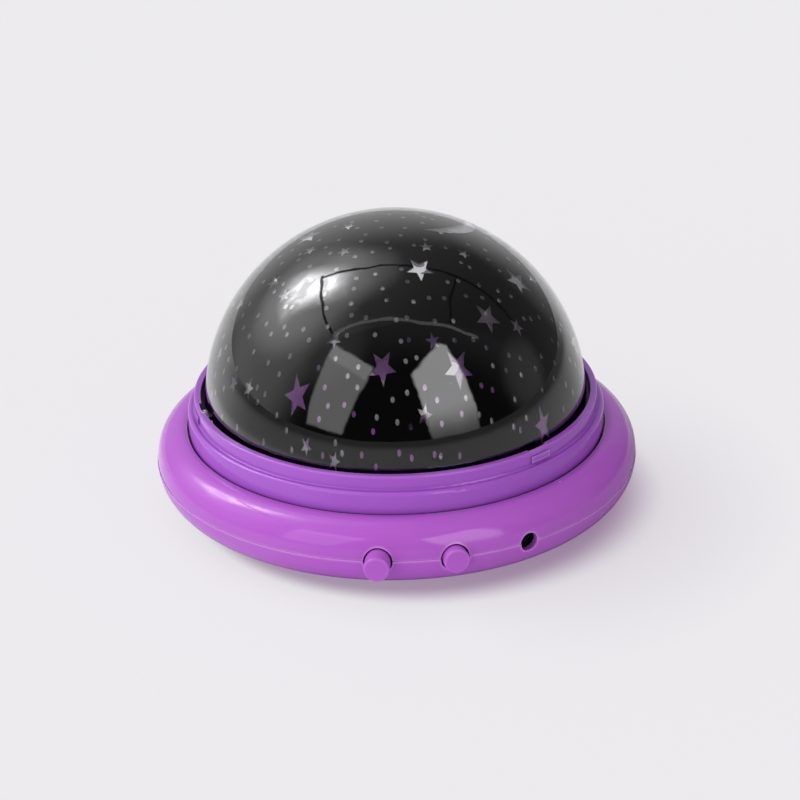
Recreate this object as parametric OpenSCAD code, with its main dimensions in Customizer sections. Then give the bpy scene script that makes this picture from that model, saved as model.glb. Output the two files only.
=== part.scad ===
// Star night light projector: a domed star shade on a turning collar, over a round base that
// holds the cells, the switches, the lamp board and the drive of the collar.
// Sizes are in millimetres. The table is z = 0, the dome's axis is Z, and the rotation button
// faces -Y. Angles round the axis are measured from -Y towards +X.

/* [Base ring] */
// Radius of the base at its widest, on the joint line of its two halves
base_r = 70; // [69:0.5:76]
// Height of the joint line above the table
parting_h = 14.4; // [14:0.2:16]
// Height of the rolled top above the joint line
bulge_h = 9.6; // [9.2:0.2:12]
// Corner radius of the rolled top
upper_edge_r = 8.2; // [7:0.2:9]
// Corner radius of the belly under the joint line
lower_edge_r = 9.6; // [8:0.2:11]
// Slope of the underside between the belly and the flat, in degrees
underside_slope = 26; // [24:1:34]
// Wall of the two halves of the base
shell_t = 2; // [1.6:0.1:2.4]
// How far the lower half stands proud of the upper half on the joint line
seam_step = 0.15; // [0.05:0.05:0.3]
// Thickness of the well's floor and of the lamp deck
deck_t = 1.8; // [1.4:0.1:2.2]

/* [Turning collar] */
// Radius of the collar's lower step
collar_r = 60.5; // [60:0.1:61]
// Gap between the collar and the opening of the base
well_gap = 0.5; // [0.3:0.1:0.8]
// Depth of the well in which the collar turns
well_depth = 4.4; // [4:0.1:5]
// Height of the lower step above the top of the base
step1_h = 6.3; // [5.5:0.1:7]
// Height of the upper step above the lower step
step2_h = 4.1; // [3.5:0.1:5]
// Width of the lower step
step_w = 2; // [1.6:0.1:2.4]
// Wall of the upper step
collar_t = 1.2; // [1:0.1:1.5]
// How far the lip leans in over the dome's tabs
lip_w = 0.9; // [0.7:0.05:1]
// Thickness of the lip
lip_t = 1.3; // [1:0.1:1.8]
// Width of the notches in the lip and of the lugs beside them, in degrees
notch_deg = 6.8; // [5:0.2:9]
// Angle of the first notch
notch_az = 30; // [20:1:40]
// Height of the lugs
lug_h = 1.9; // [1:0.1:2.4]
// How far the lugs stand out
lug_out = 0.45; // [0.2:0.05:0.6]

/* [Dome] */
// Outer radius of the dome
dome_r = 55.5; // [55:0.1:55.7]
// Height of the dome's centre above the top of the base
dome_centre_h = 6.4; // [5.8:0.1:7]
// Wall of the clear dome
dome_t = 1; // [0.8:0.1:1.2]
// Thickness of the printed star film
film_t = 0.4; // [0.3:0.05:0.6]
// Play between the film and the dome
film_gap = 0.1; // [0.05:0.05:0.2]
// Distance from centre to tip of the largest star
star_r = 4.2; // [3.5:0.1:4.8]
// Radius of the moon's outer curve
moon_r = 13; // [12:0.1:14]

/* [Drive] */
// Gear module
gear_module = 1; // [0.98:0.01:1.01]
// Teeth of the idler gear
idler_teeth = 20; // [18:1:21]
// Teeth of the drive pinion
pinion_teeth = 16; // [15:1:17]
// Direction of the idler gear
idler_az = -40.5; // [-42:0.5:-39]
// Direction from the idler gear to the pinion
pinion_turn = 15.8; // [14:0.2:18]
// Play between the flanks of meshed teeth
backlash = 0.25; // [0.15:0.05:0.35]
// Radius of the steel axle and of the motor's shaft
axle_r = 1.5; // [1.2:0.1:1.6]
// Radial clearance of a running fit
run_fit = 0.06; // [0.03:0.01:0.1]
// Radius of the motor
motor_r = 12; // [11:0.5:12.5]

/* [Controls] */
// Radius of the buttons
button_r = 3.6; // [3.2:0.1:4]
// Gap round the buttons
button_gap = 0.4; // [0.3:0.05:0.6]
// How far the light button stands out of the base
light_button_out = 4.7; // [4:0.1:5]
// How far the rotation button stands out while it is latched in
rotation_button_out = 2.3; // [1.8:0.1:2.6]
// Angle of the light button
light_button_az = -17.4; // [-19:0.2:-16]
// Angle of the power inlet
jack_az = 18.2; // [17:0.2:20]
// Radius of the inlet's hole in the base
inlet_r = 2.7; // [2.4:0.1:3]
// Radius of the inlet's socket
socket_r = 1.8; // [1.6:0.05:1.9]

/* [Power] */
// Radius of an AA cell
cell_r = 7.25; // [7:0.05:7.25]
// Length of an AA cell with its button
cell_l = 50.5; // [49.5:0.1:50.5]
// Space for a contact spring at one end of each cell
spring_l = 5.7; // [5:0.1:6.5]
// Thickness of the battery door
door_t = 1.8; // [1.5:0.1:2.2]
// Gap round the battery door
door_gap = 0.25; // [0.15:0.05:0.4]

/* [Feet and screws] */
// Height of the underside above the table
foot_h = 1.5; // [1:0.1:2]
// Radius of the rubber feet
foot_r = 4.5; // [4:0.1:5]
// Distance of the feet from the axis
foot_pitch_r = 49; // [48:0.5:50]
// Radius of the housing screws' shank
screw_r = 1.4; // [1.2:0.1:1.5]
// Distance of the housing screws from the axis
screw_pitch_r = 52; // [51:0.2:52.4]

/* [Hidden] */
$fn = 96;

// Heights
underside = foot_h;
floor_top = underside + shell_t;
ring_top = parting_h + bulge_h;
well_floor = ring_top - well_depth;
well_under = well_floor - deck_t;
glide_h = 0.4;
glide_gap = 0.05;
collar_bottom = well_floor + glide_h + glide_gap;
flange_under = ring_top - 0.7;
flange_t = 1.9;
flange_top = flange_under + flange_t;
side_gap = 0.3;
deck_top = flange_top + side_gap;
deck_under = deck_top - deck_t;
clip_t = 1.5;
seat_top = deck_top + clip_t;
step1_top = ring_top + step1_h;
step2_top = step1_top + step2_h;
lip_under = step2_top - lip_t;
dome_z = ring_top + dome_centre_h;

// Radii
opening_r = collar_r + well_gap;
well_wall = 1.6;
upper_step_r = collar_r - step_w;
collar_in_r = upper_step_r - collar_t;
lip_r = collar_in_r - lip_w;
skirt_in_r = collar_r - 2.3;
seat_in_r = collar_in_r - 3.9;
tab_play = 1.4;
tab_h = 2;
eps = 0.01;
bite = 0.5;

// Gear train
ring_teeth = 2 * round((collar_r - 8.5) / gear_module);
pressure_angle = 20;
ring_pitch_r = gear_module * ring_teeth / 2;
ring_tip_r = ring_pitch_r - gear_module;
ring_band_r = ring_pitch_r + 1.25 * gear_module + 2;
flange_in_r = ring_tip_r - 0.8;
deck_r = flange_in_r - 1.4;
idler_pitch_r = gear_module * idler_teeth / 2;
pinion_pitch_r = gear_module * pinion_teeth / 2;
idler_from_axis = ring_pitch_r - idler_pitch_r;
idler_at = polar(idler_from_axis, idler_az);
idler_dir = idler_az - 90;
gears_apart = idler_pitch_r + pinion_pitch_r;
pinion_at = idler_at + gears_apart * [cos(pinion_turn), sin(pinion_turn)];
pinion_phase = pinion_turn + 180 - idler_teeth / pinion_teeth * (idler_dir - pinion_turn)
    + 180 / pinion_teeth;
gear_z = collar_bottom + 0.15;
gear_h = flange_under - side_gap - gear_z;
post_gap = 0.15;
shaft_free = 2.2;
motor_top = gear_z - shaft_free;
motor_boss_h = 1.5;
motor_plate_t = 1;
motor_plate_z = motor_top - motor_boss_h - motor_plate_t;
motor_can_h = 10;
motor_seat_z = motor_plate_z - motor_can_h;
motor_ear_az = [-20, 160];
motor_ear_r = 15;
ear_r = 3;

// Controls, all on the joint line
button_face = base_r + light_button_out;
rotation_face = base_r + rotation_button_out;
flange_seat = base_r - 4.1;
button_flange_r = button_r + 1.2;
button_flange_t = 1.2;
button_flange_h = 6;
pcb_t = 1.6;
switch_h = 6.4;
pcb_top = parting_h - switch_h / 2;
pcb_z = pcb_top - pcb_t;
pcb_in_r = base_r - 24;
pcb_out_r = base_r - 8.8;
pcb_span = 31;
pcb_post_r = base_r - 20;
pcb_posts = [[-27, pcb_post_r], [8.8, pcb_post_r], [27, pcb_post_r]];
switch_in_r = base_r - 18.5;
switch_out_r = flange_seat - button_flange_t - 4.2;
switch_w = 7;
plunger_w = 2.4;
plunger_l = 5;
jack_out_r = base_r - shell_t - 3.2;
jack_in_r = jack_out_r - 11;
jack_w = 7;
pin_r = 0.5;

// Battery bay
cell_pitch = 2 * cell_r + 0.7;
bay_wall = 1.6;
contact_t = 0.4;
bay_half_x = (cell_l + spring_l) / 2 + contact_t + 0.05;
bay_half_y = cell_pitch + cell_r + 0.45;
bay_y = round(pinion_at[1] + motor_r + 1.5 + bay_wall + bay_half_y);
door_top = underside + door_t;
cell_z = door_top + 0.6 + cell_r;
bay_roof = cell_z + cell_r + 0.5;
bay_roof_t = 1.4;
pad_t = 1.8;
pad_top = door_top + pad_t;
door_over = 3;
door_screw_x = bay_half_x + bay_wall + 4;
door_ear_r = 4.5;
door_screw_r = 1.1;
door_boss_top = 11;

// Screws and feet
post_r = 3.5;
post_top = parting_h - 2.4;
head_r = 2.8;
head_h = 1.8;
head_pocket_top = underside + 4.5;
screw_top = well_under - 1.4;
fit = 0.05;
foot_sink = 0.8;
small_screw_r = 0.95;
small_head_r = 2;
small_head_h = 1.2;
diagonals = [45, 135, 225, 315];
quarters = [0, 90, 180, 270];
clip_az = [0, 120, 240];
notches = [notch_az, notch_az + 120, notch_az + 240];
clip_screw_r = deck_r - 2.8;
clip_w = 10;
clip_reach = seat_in_r - 0.4;

// Lamp board
board_r = 11;
board_t = 1.2;
board_stand = 1.8;
board_z = deck_top + board_stand;
board_screw_at = 8.4;
led_ring_r = 4.5;
led_r = 2.5;
wire_hole_r = 2.5;

// Colours
purple = [0.56, 0.20, 0.72];
dark_plastic = [0.08, 0.08, 0.09];
black_print = [0.03, 0.03, 0.035];
clear_tint = [0.85, 0.87, 0.9, 0.35];
steel = [0.72, 0.72, 0.74];
board_green = [0.10, 0.36, 0.20];
cream = [0.92, 0.90, 0.84];
rubber = [0.12, 0.12, 0.12];

// Point at distance r from the axis, in the direction az
function polar(r, az) = [r * sin(az), -r * cos(az)];

// Turns a shape drawn towards -Y to the direction az
module at_az(az) {
    rotate([0, 0, az]) children();
}

// Cylinder along the radial direction az, from radius r0 to r1, with its axis at height z
module radial_rod(az, z, r, r0, r1) {
    at_az(az) translate([0, -r0, z]) rotate([90, 0, 0]) cylinder(r = r, h = r1 - r0);
}

// Block on the radial direction az, from radius r0 to r1, w wide, from z0 to z1
module radial_block(az, w, r0, r1, z0, z1) {
    at_az(az) translate([-w / 2, -r1, z0]) cube([w, r1 - r0, z1 - z0]);
}

// Ring from radius r0 to r1, from z0 to z1
module ring(r0, r1, z0, z1) {
    rotate_extrude($fn = 180) translate([r0, z0]) square([r1 - r0, z1 - z0]);
}

// Upright cylinder from z0 to z1
module rod(r, z0, z1) {
    translate([0, 0, z0]) cylinder(r = r, h = z1 - z0);
}

// Sector of a ring, centred on az and span degrees wide
module ring_sector(az, span, r0, r1, z0, z1) {
    at_az(az - span / 2 - 90) translate([0, 0, z0])
        rotate_extrude(angle = span, $fn = 180) translate([r0, 0]) square([r1 - r0, z1 - z0]);
}

// What a convex corner of radius r loses; the corner is at the origin, the solid at -x, -y
module corner_cut(r) {
    translate([-r, -r]) difference() {
        square([r + eps, r + eps]);
        circle(r = r, $fn = 48);
    }
}

// Screw with its head's seat at z, pointing up when up is 1 and down when it is -1
module screw(r, l, hr, hh, up) {
    mirror([0, 0, up > 0 ? 0 : 1]) difference() {
        union() {
            cylinder(r = r, h = l, $fn = 32);
            translate([0, 0, -hh]) cylinder(r = hr, h = hh, $fn = 48);
        }
        for (turn = [0, 90])
            rotate([0, 0, turn]) translate([-hr * 0.6, -hr * 0.12, -hh - eps])
                cube([hr * 1.2, hr * 0.24, hh * 0.55]);
    }
}

// Involute outline of a gear with a tooth on the +X axis; thin is taken off each flank
function involute(base, at) = let (roll = sqrt(max(0, pow(at / base, 2) - 1)))
    roll * 180 / PI - atan(roll);
function flank_angle(teeth, thin, at) = let (
    pitch = gear_module * teeth / 2,
    base = pitch * cos(pressure_angle),
    half = 90 / teeth - thin / pitch * 180 / PI
) half + involute(base, pitch) - involute(base, max(at, base));
module gear_outline(teeth, tip_r, root_r, thin, steps = 4) {
    radii = [for (i = [0:steps]) root_r + (tip_r - root_r) * i / steps];
    polygon([for (tooth = [0:teeth - 1], side = [-1, 1], i = [0:steps])
        let (at = radii[side < 0 ? i : steps - i],
            turn = tooth * 360 / teeth + side * flank_angle(teeth, thin, at))
        at * [cos(turn), sin(turn)]]);
}

// Region of the base below the joint line, drawn in by d
module belly_area(d) {
    arc_r = lower_edge_r - d;
    centre = [base_r - lower_edge_r, parting_h];
    tangent = centre + arc_r * [sin(underside_slope), -cos(underside_slope)];
    flat_r = tangent[0] - (tangent[1] - underside - d) / tan(underside_slope);
    polygon([[0, underside + d], [flat_r, underside + d], tangent, centre, [0, parting_h]]);
    intersection() {
        translate(centre) circle(r = arc_r, $fn = 128);
        translate([centre[0], 0]) square([base_r, parting_h]);
    }
}

// Region of the base above the joint line, drawn in by d
module bulge_area(d) {
    out_r = base_r - seam_step;
    centre = [out_r - upper_edge_r, ring_top - upper_edge_r];
    translate([0, parting_h]) square([out_r - d, centre[1] - parting_h]);
    translate([0, parting_h]) square([centre[0], bulge_h - d]);
    intersection() {
        translate(centre) circle(r = upper_edge_r - d, $fn = 128);
        translate(centre) square([upper_edge_r, upper_edge_r]);
    }
}

// Holes of the two buttons and the inlet, through both halves
module control_holes() {
    for (az = [light_button_az, 0])
        radial_rod(az, parting_h, button_r + button_gap, flange_seat - 1, base_r + 1);
    radial_rod(jack_az, parting_h, inlet_r, flange_seat - 1, base_r + 1);
}

// Outline of the battery door, grown by c
module door_outline(c) {
    translate([-bay_half_x - door_over - c, bay_y - bay_half_y - door_over - c])
        square([2 * (bay_half_x + door_over + c), 2 * (bay_half_y + door_over + c)]);
    for (side = [-1, 1]) translate([side * door_screw_x, bay_y])
        circle(r = door_ear_r + c, $fn = 64);
}

// Inside of the battery bay
module bay_space(z0, z1) {
    translate([-bay_half_x, bay_y - bay_half_y, z0])
        cube([2 * bay_half_x, 2 * bay_half_y, z1 - z0]);
}

module bottom_housing() color(purple) {
    motor_at = [pinion_at[0], pinion_at[1], 0];
    difference() {
        union() {
            difference() {
                rotate_extrude($fn = 180) belly_area(0);
                rotate_extrude($fn = 180) belly_area(shell_t);
            }
            // tongue that centres the upper half
            ring(base_r - shell_t, base_r - shell_t + 0.9, parting_h - 1, parting_h + 1);
            // thick floor under the bay, and the bay's walls and roof
            translate([0, 0, underside]) linear_extrude(pad_top - underside) door_outline(2.2);
            translate([-bay_half_x - bay_wall, bay_y - bay_half_y - bay_wall, underside])
                cube([2 * (bay_half_x + bay_wall), 2 * (bay_half_y + bay_wall),
                    bay_roof + bay_roof_t - underside]);
            for (side = [-1, 1]) translate([side * door_screw_x, bay_y])
                rod(3.2, underside, door_boss_top);
            for (az = diagonals) translate(polar(screw_pitch_r, az)) rod(post_r, underside, post_top);
            for (p = pcb_posts) translate(polar(p[1], p[0])) rod(2.6, floor_top - bite, pcb_z);
            // motor cup and the posts under the motor's ears
            translate(motor_at) rotate_extrude($fn = 180)
                polygon([[motor_r - 3, floor_top - bite], [motor_r - 3, motor_seat_z],
                    [motor_r + 0.2, motor_seat_z], [motor_r + 0.2, motor_seat_z + 3],
                    [motor_r + 1.8, motor_seat_z + 3], [motor_r + 1.8, floor_top - bite]]);
            for (az = motor_ear_az) translate(motor_at + motor_ear_r * [cos(az), sin(az), 0])
                rod(ear_r - 0.2, floor_top - bite, motor_plate_z);
            translate(idler_at) rod(3.2, floor_top - bite, gear_z - post_gap);
        }
        bay_space(underside - 1, bay_roof);
        translate([0, 0, underside - 1]) linear_extrude(door_t + 1 + fit) door_outline(door_gap);
        for (side = [-1, 1]) translate([side * door_screw_x, bay_y])
            rod(door_screw_r + fit, underside, door_boss_top - 1);
        for (az = diagonals) translate(polar(screw_pitch_r, az)) {
            rod(screw_r + 0.3, underside - 1, post_top + 1);
            rod(head_r + 0.2, underside - 1, head_pocket_top);
        }
        for (az = quarters) translate(polar(foot_pitch_r, az))
            rod(foot_r + 0.1, underside - 1, underside + foot_sink);
        for (p = pcb_posts) translate(polar(p[1], p[0]))
            rod(small_screw_r + fit, floor_top + 1, pcb_z + 1);
        for (az = motor_ear_az) translate(motor_at + motor_ear_r * [cos(az), sin(az), 0])
            rod(small_screw_r + fit, floor_top + 1, motor_plate_z + 1);
        translate(idler_at) rod(axle_r + 0.02, floor_top + 1, gear_z);
        // ways out of the bay for the two battery wires
        translate([bay_half_x - 1, bay_y - cell_pitch, cell_z]) rotate([0, 90, 0])
            cylinder(r = 1, h = bay_wall + 2, $fn = 32);
        translate([-bay_half_x + 1, bay_y + cell_pitch, cell_z]) rotate([0, -90, 0])
            cylinder(r = 1, h = bay_wall + 2, $fn = 32);
        control_holes();
    }
}

module top_cover() color(purple) {
    difference() {
        union() {
            rotate_extrude($fn = 180) difference() {
                bulge_area(0);
                bulge_area(shell_t);
                translate([0, parting_h - 1]) square([opening_r, bulge_h + 2]);
            }
            ring(opening_r, opening_r + well_wall, well_under, ring_top - bite);
            ring(deck_r - deck_t, opening_r + well_wall, well_under, well_floor);
            ring(deck_r - deck_t, deck_r, well_under, deck_top);
            rod(deck_r, deck_under, deck_top);
            // rib on which the collar glides
            ring(collar_r - 1.6, collar_r - 0.7, well_floor - bite, well_floor + glide_h);
            for (az = diagonals) translate(polar(screw_pitch_r, az))
                rod(post_r, post_top, well_under + bite);
            for (az = clip_az) translate(polar(clip_screw_r, az))
                rod(2.6, deck_under - 3, deck_under + bite);
            for (az = [90, 270]) translate(polar(board_screw_at, az))
                rod(2.2, deck_top - bite, board_z);
        }
        // rabbet for the lower half's tongue
        ring(base_r - shell_t - 1, base_r - shell_t + 0.9 + fit, parting_h - 1,
            parting_h + 1 + fit);
        for (az = diagonals) translate(polar(screw_pitch_r, az))
            rod(screw_r + fit, post_top - 1, screw_top + 0.5);
        for (az = clip_az) translate(polar(clip_screw_r, az))
            rod(small_screw_r + fit, deck_under - 2, deck_top + 1);
        for (az = [90, 270]) translate(polar(board_screw_at, az))
            rod(small_screw_r + fit, deck_under + 0.5, board_z + 1);
        // window through which the idler reaches the collar's teeth, and its axle's upper seat
        translate(idler_at) rod(idler_pitch_r + gear_module + 0.7, well_floor, deck_under);
        translate(idler_at) rod(axle_r + fit, deck_under - 1, deck_top - 0.7);
        rod(wire_hole_r, deck_under - 1, deck_top + 1);
        control_holes();
    }
}

module turntable() color(purple) {
    difference() {
        union() {
            rotate_extrude($fn = 180) difference() {
                union() {
                    polygon([[flange_in_r, flange_under], [flange_in_r, flange_top],
                        [seat_in_r, flange_top], [seat_in_r, seat_top],
                        [collar_in_r, seat_top], [collar_in_r, lip_under],
                        [lip_r, lip_under], [lip_r, step2_top],
                        [upper_step_r, step2_top], [upper_step_r, step1_top],
                        [collar_r, step1_top], [collar_r, collar_bottom],
                        [skirt_in_r, collar_bottom], [skirt_in_r, flange_under]]);
                    // soft corner between the two steps
                    translate([upper_step_r, step1_top]) difference() {
                        square([0.5, 0.5]);
                        translate([0.5, 0.5]) circle(r = 0.5, $fn = 48);
                    }
                }
                translate([collar_r, step1_top]) corner_cut(1);
                translate([upper_step_r, step2_top]) corner_cut(0.5);
                translate([lip_r, step2_top]) mirror([1, 0]) corner_cut(0.4);
            }
            for (az = notches)
                ring_sector(az, notch_deg, upper_step_r - 0.5, upper_step_r + lug_out,
                    step2_top - 1.4 - lug_h, step2_top - 1.4);
            translate([0, 0, collar_bottom]) linear_extrude(flange_under - collar_bottom + bite)
                difference() {
                    circle(r = ring_band_r, $fn = 180);
                    rotate(idler_dir) gear_outline(ring_teeth, ring_band_r - 2, ring_tip_r,
                        -backlash / 2, 3);
                }
        }
        for (az = notches)
            ring_sector(az, notch_deg, lip_r - 1, collar_in_r + 0.1, lip_under - 1, step2_top + 1);
    }
}

// Region under a dome of radius r that goes straight down from its equator to the height foot
module dome_area(r, foot) {
    translate([0, foot]) square([r, dome_z - foot]);
    intersection() {
        translate([0, dome_z]) circle(r = r, $fn = 256);
        translate([0, dome_z]) square([r, r]);
    }
}

module dome_shell() color(clear_tint) {
    rotate_extrude($fn = 180) difference() {
        dome_area(dome_r, seat_top + glide_gap);
        dome_area(dome_r - dome_t, seat_top - 1);
    }
    for (az = notches)
        ring_sector(az, notch_deg - tab_play, dome_r - 0.5, collar_in_r - side_gap,
            lip_under - 0.6 - tab_h, lip_under - 0.6);
}

// Star windows: direction, angle from the dome's top, share of the largest size, and turn
STARS = [
    [-148, 19, 0.4, 0], [-106, 13, 0.55, 20], [-111, 26, 1, 40], [-87, 26, 0.52, 0],
    [-59, 20, 0.51, 25], [-84, 40, 0.55, 30], [-70, 41, 0.52, 10], [-95, 53, 0.55, 36],
    [-89, 68, 0.45, 20], [-73, 71, 0.45, 30], [-65, 70, 0.5, 30], [-45, 67, 0.97, 59],
    [-36, 49, 0.5, 10], [-17, 56, 0.92, 6], [140, 18, 0.8, 20], [23, 17, 0.55, 11],
    [46, 25, 0.5, 30], [6, 25, 1, 58], [59, 42, 1, 21], [72, 46, 0.5, 36],
    [28, 46, 0.92, 56], [39, 52, 0.52, 63], [2, 49, 0.48, 40], [9, 58, 1, 64],
    [70, 70, 0.8, 30], [-4, 70, 0.52, 20], [36, 82, 0.8, 44], [-40, 81, 0.43, 10],
    [-31, 84, 0.42, 20]];
// The print runs on over the back in three loose rows
BACK_STARS = [for (row = [0:2], i = [0:5])
    [100 + 27 * i + 9 * row, 34 + 19 * row + 4 * (i % 3), 0.6 + 0.2 * ((i + row) % 3),
        36 * (i % 2) + 7 * i]];

// Direction of the crescent moon, and its angle from the top
moon_at = [117, 15];

// Five-pointed star with its tip on +X, drawn out along X by stretch as the sheet was
module star_shape(tip, stretch, turn) {
    polygon([for (i = [0:9])
        let (r = i % 2 == 0 ? tip : tip * 0.42, a = 36 * i + turn)
        [stretch * r * cos(a), r * sin(a)]]);
}

module star_film() color(black_print) {
    out_r = dome_r - dome_t - film_gap;
    difference() {
        rotate_extrude($fn = 180) difference() {
            dome_area(out_r, seat_top + side_gap);
            dome_area(out_r - film_t, seat_top - 1);
        }
        for (s = concat(STARS, BACK_STARS))
            translate([0, 0, dome_z]) rotate([0, 0, s[0] - 90]) rotate([0, s[1], 0])
                translate([0, 0, out_r - 3]) linear_extrude(6)
                    star_shape(star_r * s[2], 1 + pow(s[1] / 90, 2), s[3]);
        // crescent moon beside the top
        translate([0, 0, dome_z]) rotate([0, 0, moon_at[0] - 90]) rotate([0, moon_at[1], 0])
            translate([0, 0, out_r - 4]) linear_extrude(7) rotate(-71) difference() {
                circle(r = moon_r, $fn = 128);
                translate([-0.8 * moon_r, 0]) circle(r = 1.5 * moon_r, $fn = 128);
            }
    }
}

// Push button: a cap with a soft front edge, and a flat-topped flange that keeps it in the base
module button(az, face, flange_face) {
    edge = 0.5;
    at_az(az) translate([0, 0, parting_h]) rotate([90, 0, 0]) rotate_extrude($fn = 96)
        difference() {
            translate([0, flange_face - 0.1]) square([button_r, face - flange_face + 0.1]);
            translate([button_r, face]) corner_cut(edge);
        }
    intersection() {
        radial_rod(az, parting_h, button_flange_r, flange_face - button_flange_t, flange_face);
        radial_block(az, 2 * button_flange_r, flange_face - 2, flange_face + 1,
            parting_h - button_flange_h / 2, parting_h + button_flange_h / 2);
    }
}
module light_button() color(purple) button(light_button_az, button_face, flange_seat);
module rotation_button() color(purple)
    button(0, rotation_face, flange_seat - (button_face - rotation_face));

// Square plunger between a button and the inside of its switch
module plunger(az, flange_face) {
    back = flange_face - button_flange_t;
    radial_block(az, plunger_w, switch_out_r - plunger_l, back,
        parting_h - plunger_w / 2, parting_h + plunger_w / 2);
}
module light_plunger() color(cream) plunger(light_button_az, flange_seat);
module rotation_plunger() color(cream)
    plunger(0, flange_seat - (button_face - rotation_face));

// Latching switch body with the channel of its plunger
module switch_body(az) {
    side = plunger_w / 2 + 0.15;
    difference() {
        radial_block(az, switch_w, switch_in_r, switch_out_r, pcb_top, pcb_top + switch_h);
        radial_block(az, 2 * side, switch_in_r + 0.7, switch_out_r + 1,
            parting_h - side, parting_h + side);
    }
}
module light_switch() color(dark_plastic) switch_body(light_button_az);
module rotation_switch() color(dark_plastic) switch_body(0);

module dc_jack() color(dark_plastic) {
    difference() {
        union() {
            radial_block(jack_az, jack_w, jack_in_r, jack_out_r, pcb_top, pcb_top + switch_h);
            radial_rod(jack_az, parting_h, inlet_r - 0.1, jack_out_r - eps, jack_out_r + 1);
        }
        radial_rod(jack_az, parting_h, socket_r, jack_in_r + 1.5, jack_out_r + 2);
    }
}
module jack_pin() color(steel)
    radial_rod(jack_az, parting_h, pin_r, jack_in_r + 1.5, jack_out_r - 1);

module main_pcb() color(board_green) {
    difference() {
        ring_sector(0, 2 * pcb_span, pcb_in_r, pcb_out_r, pcb_z, pcb_top);
        for (p = pcb_posts) translate(polar(p[1], p[0])) rod(1.1, pcb_z - 1, pcb_top + 1);
    }
}

module pcb_components() color(dark_plastic) {
    // chip, two resistors, capacitor and its small neighbour
    radial_block(-8.7, 5, pcb_in_r + 4, pcb_in_r + 8, pcb_top, pcb_top + 1.6);
    radial_block(-8.7, 2.4, pcb_out_r - 5.2, pcb_out_r - 4, pcb_top, pcb_top + 0.7);
    radial_block(9.5, 2.4, pcb_out_r - 4.2, pcb_out_r - 3, pcb_top, pcb_top + 0.7);
    translate(polar(pcb_out_r - 3.2, -26)) rod(2, pcb_top, pcb_top + 5);
    translate(polar(pcb_in_r + 2.5, -17)) rod(1.2, pcb_top, pcb_top + 3.4);
}

module pcb_screws() color(steel)
    for (p = pcb_posts) translate(polar(p[1], p[0])) translate([0, 0, pcb_top])
        screw(small_screw_r, pcb_t + 3.5, small_head_r, small_head_h, -1);

module led_board() color(cream) {
    difference() {
        rod(board_r, board_z, board_z + board_t);
        for (az = [90, 270]) translate(polar(board_screw_at, az))
            rod(1.1, board_z - 1, board_z + board_t + 1);
    }
}

// Lamp with a rim, a straight part and a round end
module led(az) {
    translate(polar(led_ring_r, az)) translate([0, 0, board_z + board_t]) {
        cylinder(r = led_r + 0.4, h = 1, $fn = 48);
        cylinder(r = led_r, h = 4, $fn = 48);
        translate([0, 0, 4]) sphere(r = led_r, $fn = 48);
    }
}
module led_white() color([0.95, 0.94, 0.85]) led(45);
module led_red() color([0.85, 0.15, 0.12]) led(135);
module led_green() color([0.15, 0.65, 0.25]) led(225);
module led_blue() color([0.15, 0.3, 0.8]) led(315);

module led_board_screws() color(steel)
    for (az = [90, 270]) translate(polar(board_screw_at, az))
        translate([0, 0, board_z + board_t])
            screw(small_screw_r, board_t + board_stand + 0.8, 1.7, 1, -1);

module motor_can() color(steel) {
    translate(pinion_at) difference() {
        rod(motor_r, motor_seat_z, motor_plate_z);
        translate([motor_r, 0]) terminal_pocket();
    }
}
// Pocket for the terminals in the side of the motor
module terminal_pocket() {
    translate([-0.6, -1.5, motor_seat_z + 4]) cube([2, 3, 2]);
}

module motor_plate() color(steel) {
    translate(pinion_at) difference() {
        union() {
            rod(motor_r - 1, motor_plate_z, motor_plate_z + motor_plate_t);
            for (az = motor_ear_az) {
                translate(motor_ear_r * [cos(az), sin(az)])
                    rod(ear_r, motor_plate_z, motor_plate_z + motor_plate_t);
                rotate(az) translate([0, 0.6 - ear_r, motor_plate_z])
                    cube([motor_ear_r, 2 * (ear_r - 0.6), motor_plate_t]);
            }
            rod(3.5, motor_plate_z, motor_top);
        }
        rod(axle_r + fit, motor_plate_z - 1, motor_top + 1);
        for (az = motor_ear_az) translate(motor_ear_r * [cos(az), sin(az)])
            rod(1.1, motor_plate_z - 1, motor_plate_z + 2);
    }
}

module motor_shaft() color(steel) {
    translate(pinion_at) rod(axle_r, motor_plate_z + fit, gear_z + gear_h + 0.3);
}

module motor_screws() color(steel)
    for (az = motor_ear_az)
        translate([pinion_at[0], pinion_at[1], motor_plate_z + motor_plate_t]
            + motor_ear_r * [cos(az), sin(az), 0])
            screw(small_screw_r, motor_plate_t + 4.5, small_head_r, small_head_h, -1);

// Gear with a hub and a bore
module gear(teeth, thin, phase, bore) {
    difference() {
        union() {
            rotate(phase) linear_extrude(gear_h) gear_outline(teeth,
                gear_module * (teeth / 2 + 1), gear_module * (teeth / 2 - 1.25), thin);
        }
        translate([0, 0, -1]) cylinder(r = bore, h = gear_h + 2, $fn = 48);
        translate([0, 0, gear_h - 0.6]) difference() {
            cylinder(r = gear_module * (teeth / 2 - 1.25) - 1.2, h = 1, $fn = 64);
            cylinder(r = bore + 1.2, h = 1, $fn = 48);
        }
    }
}
module drive_pinion() color(cream) translate([pinion_at[0], pinion_at[1], gear_z])
    gear(pinion_teeth, backlash / 2, pinion_phase, axle_r + 0.02);
module idler_gear() color(cream) translate([idler_at[0], idler_at[1], gear_z])
    gear(idler_teeth, backlash / 2, idler_dir, axle_r + run_fit);
module idler_axle() color(steel) translate(idler_at)
    rod(axle_r, floor_top + 1 + fit, deck_top - 0.7 - 2 * fit);

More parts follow.
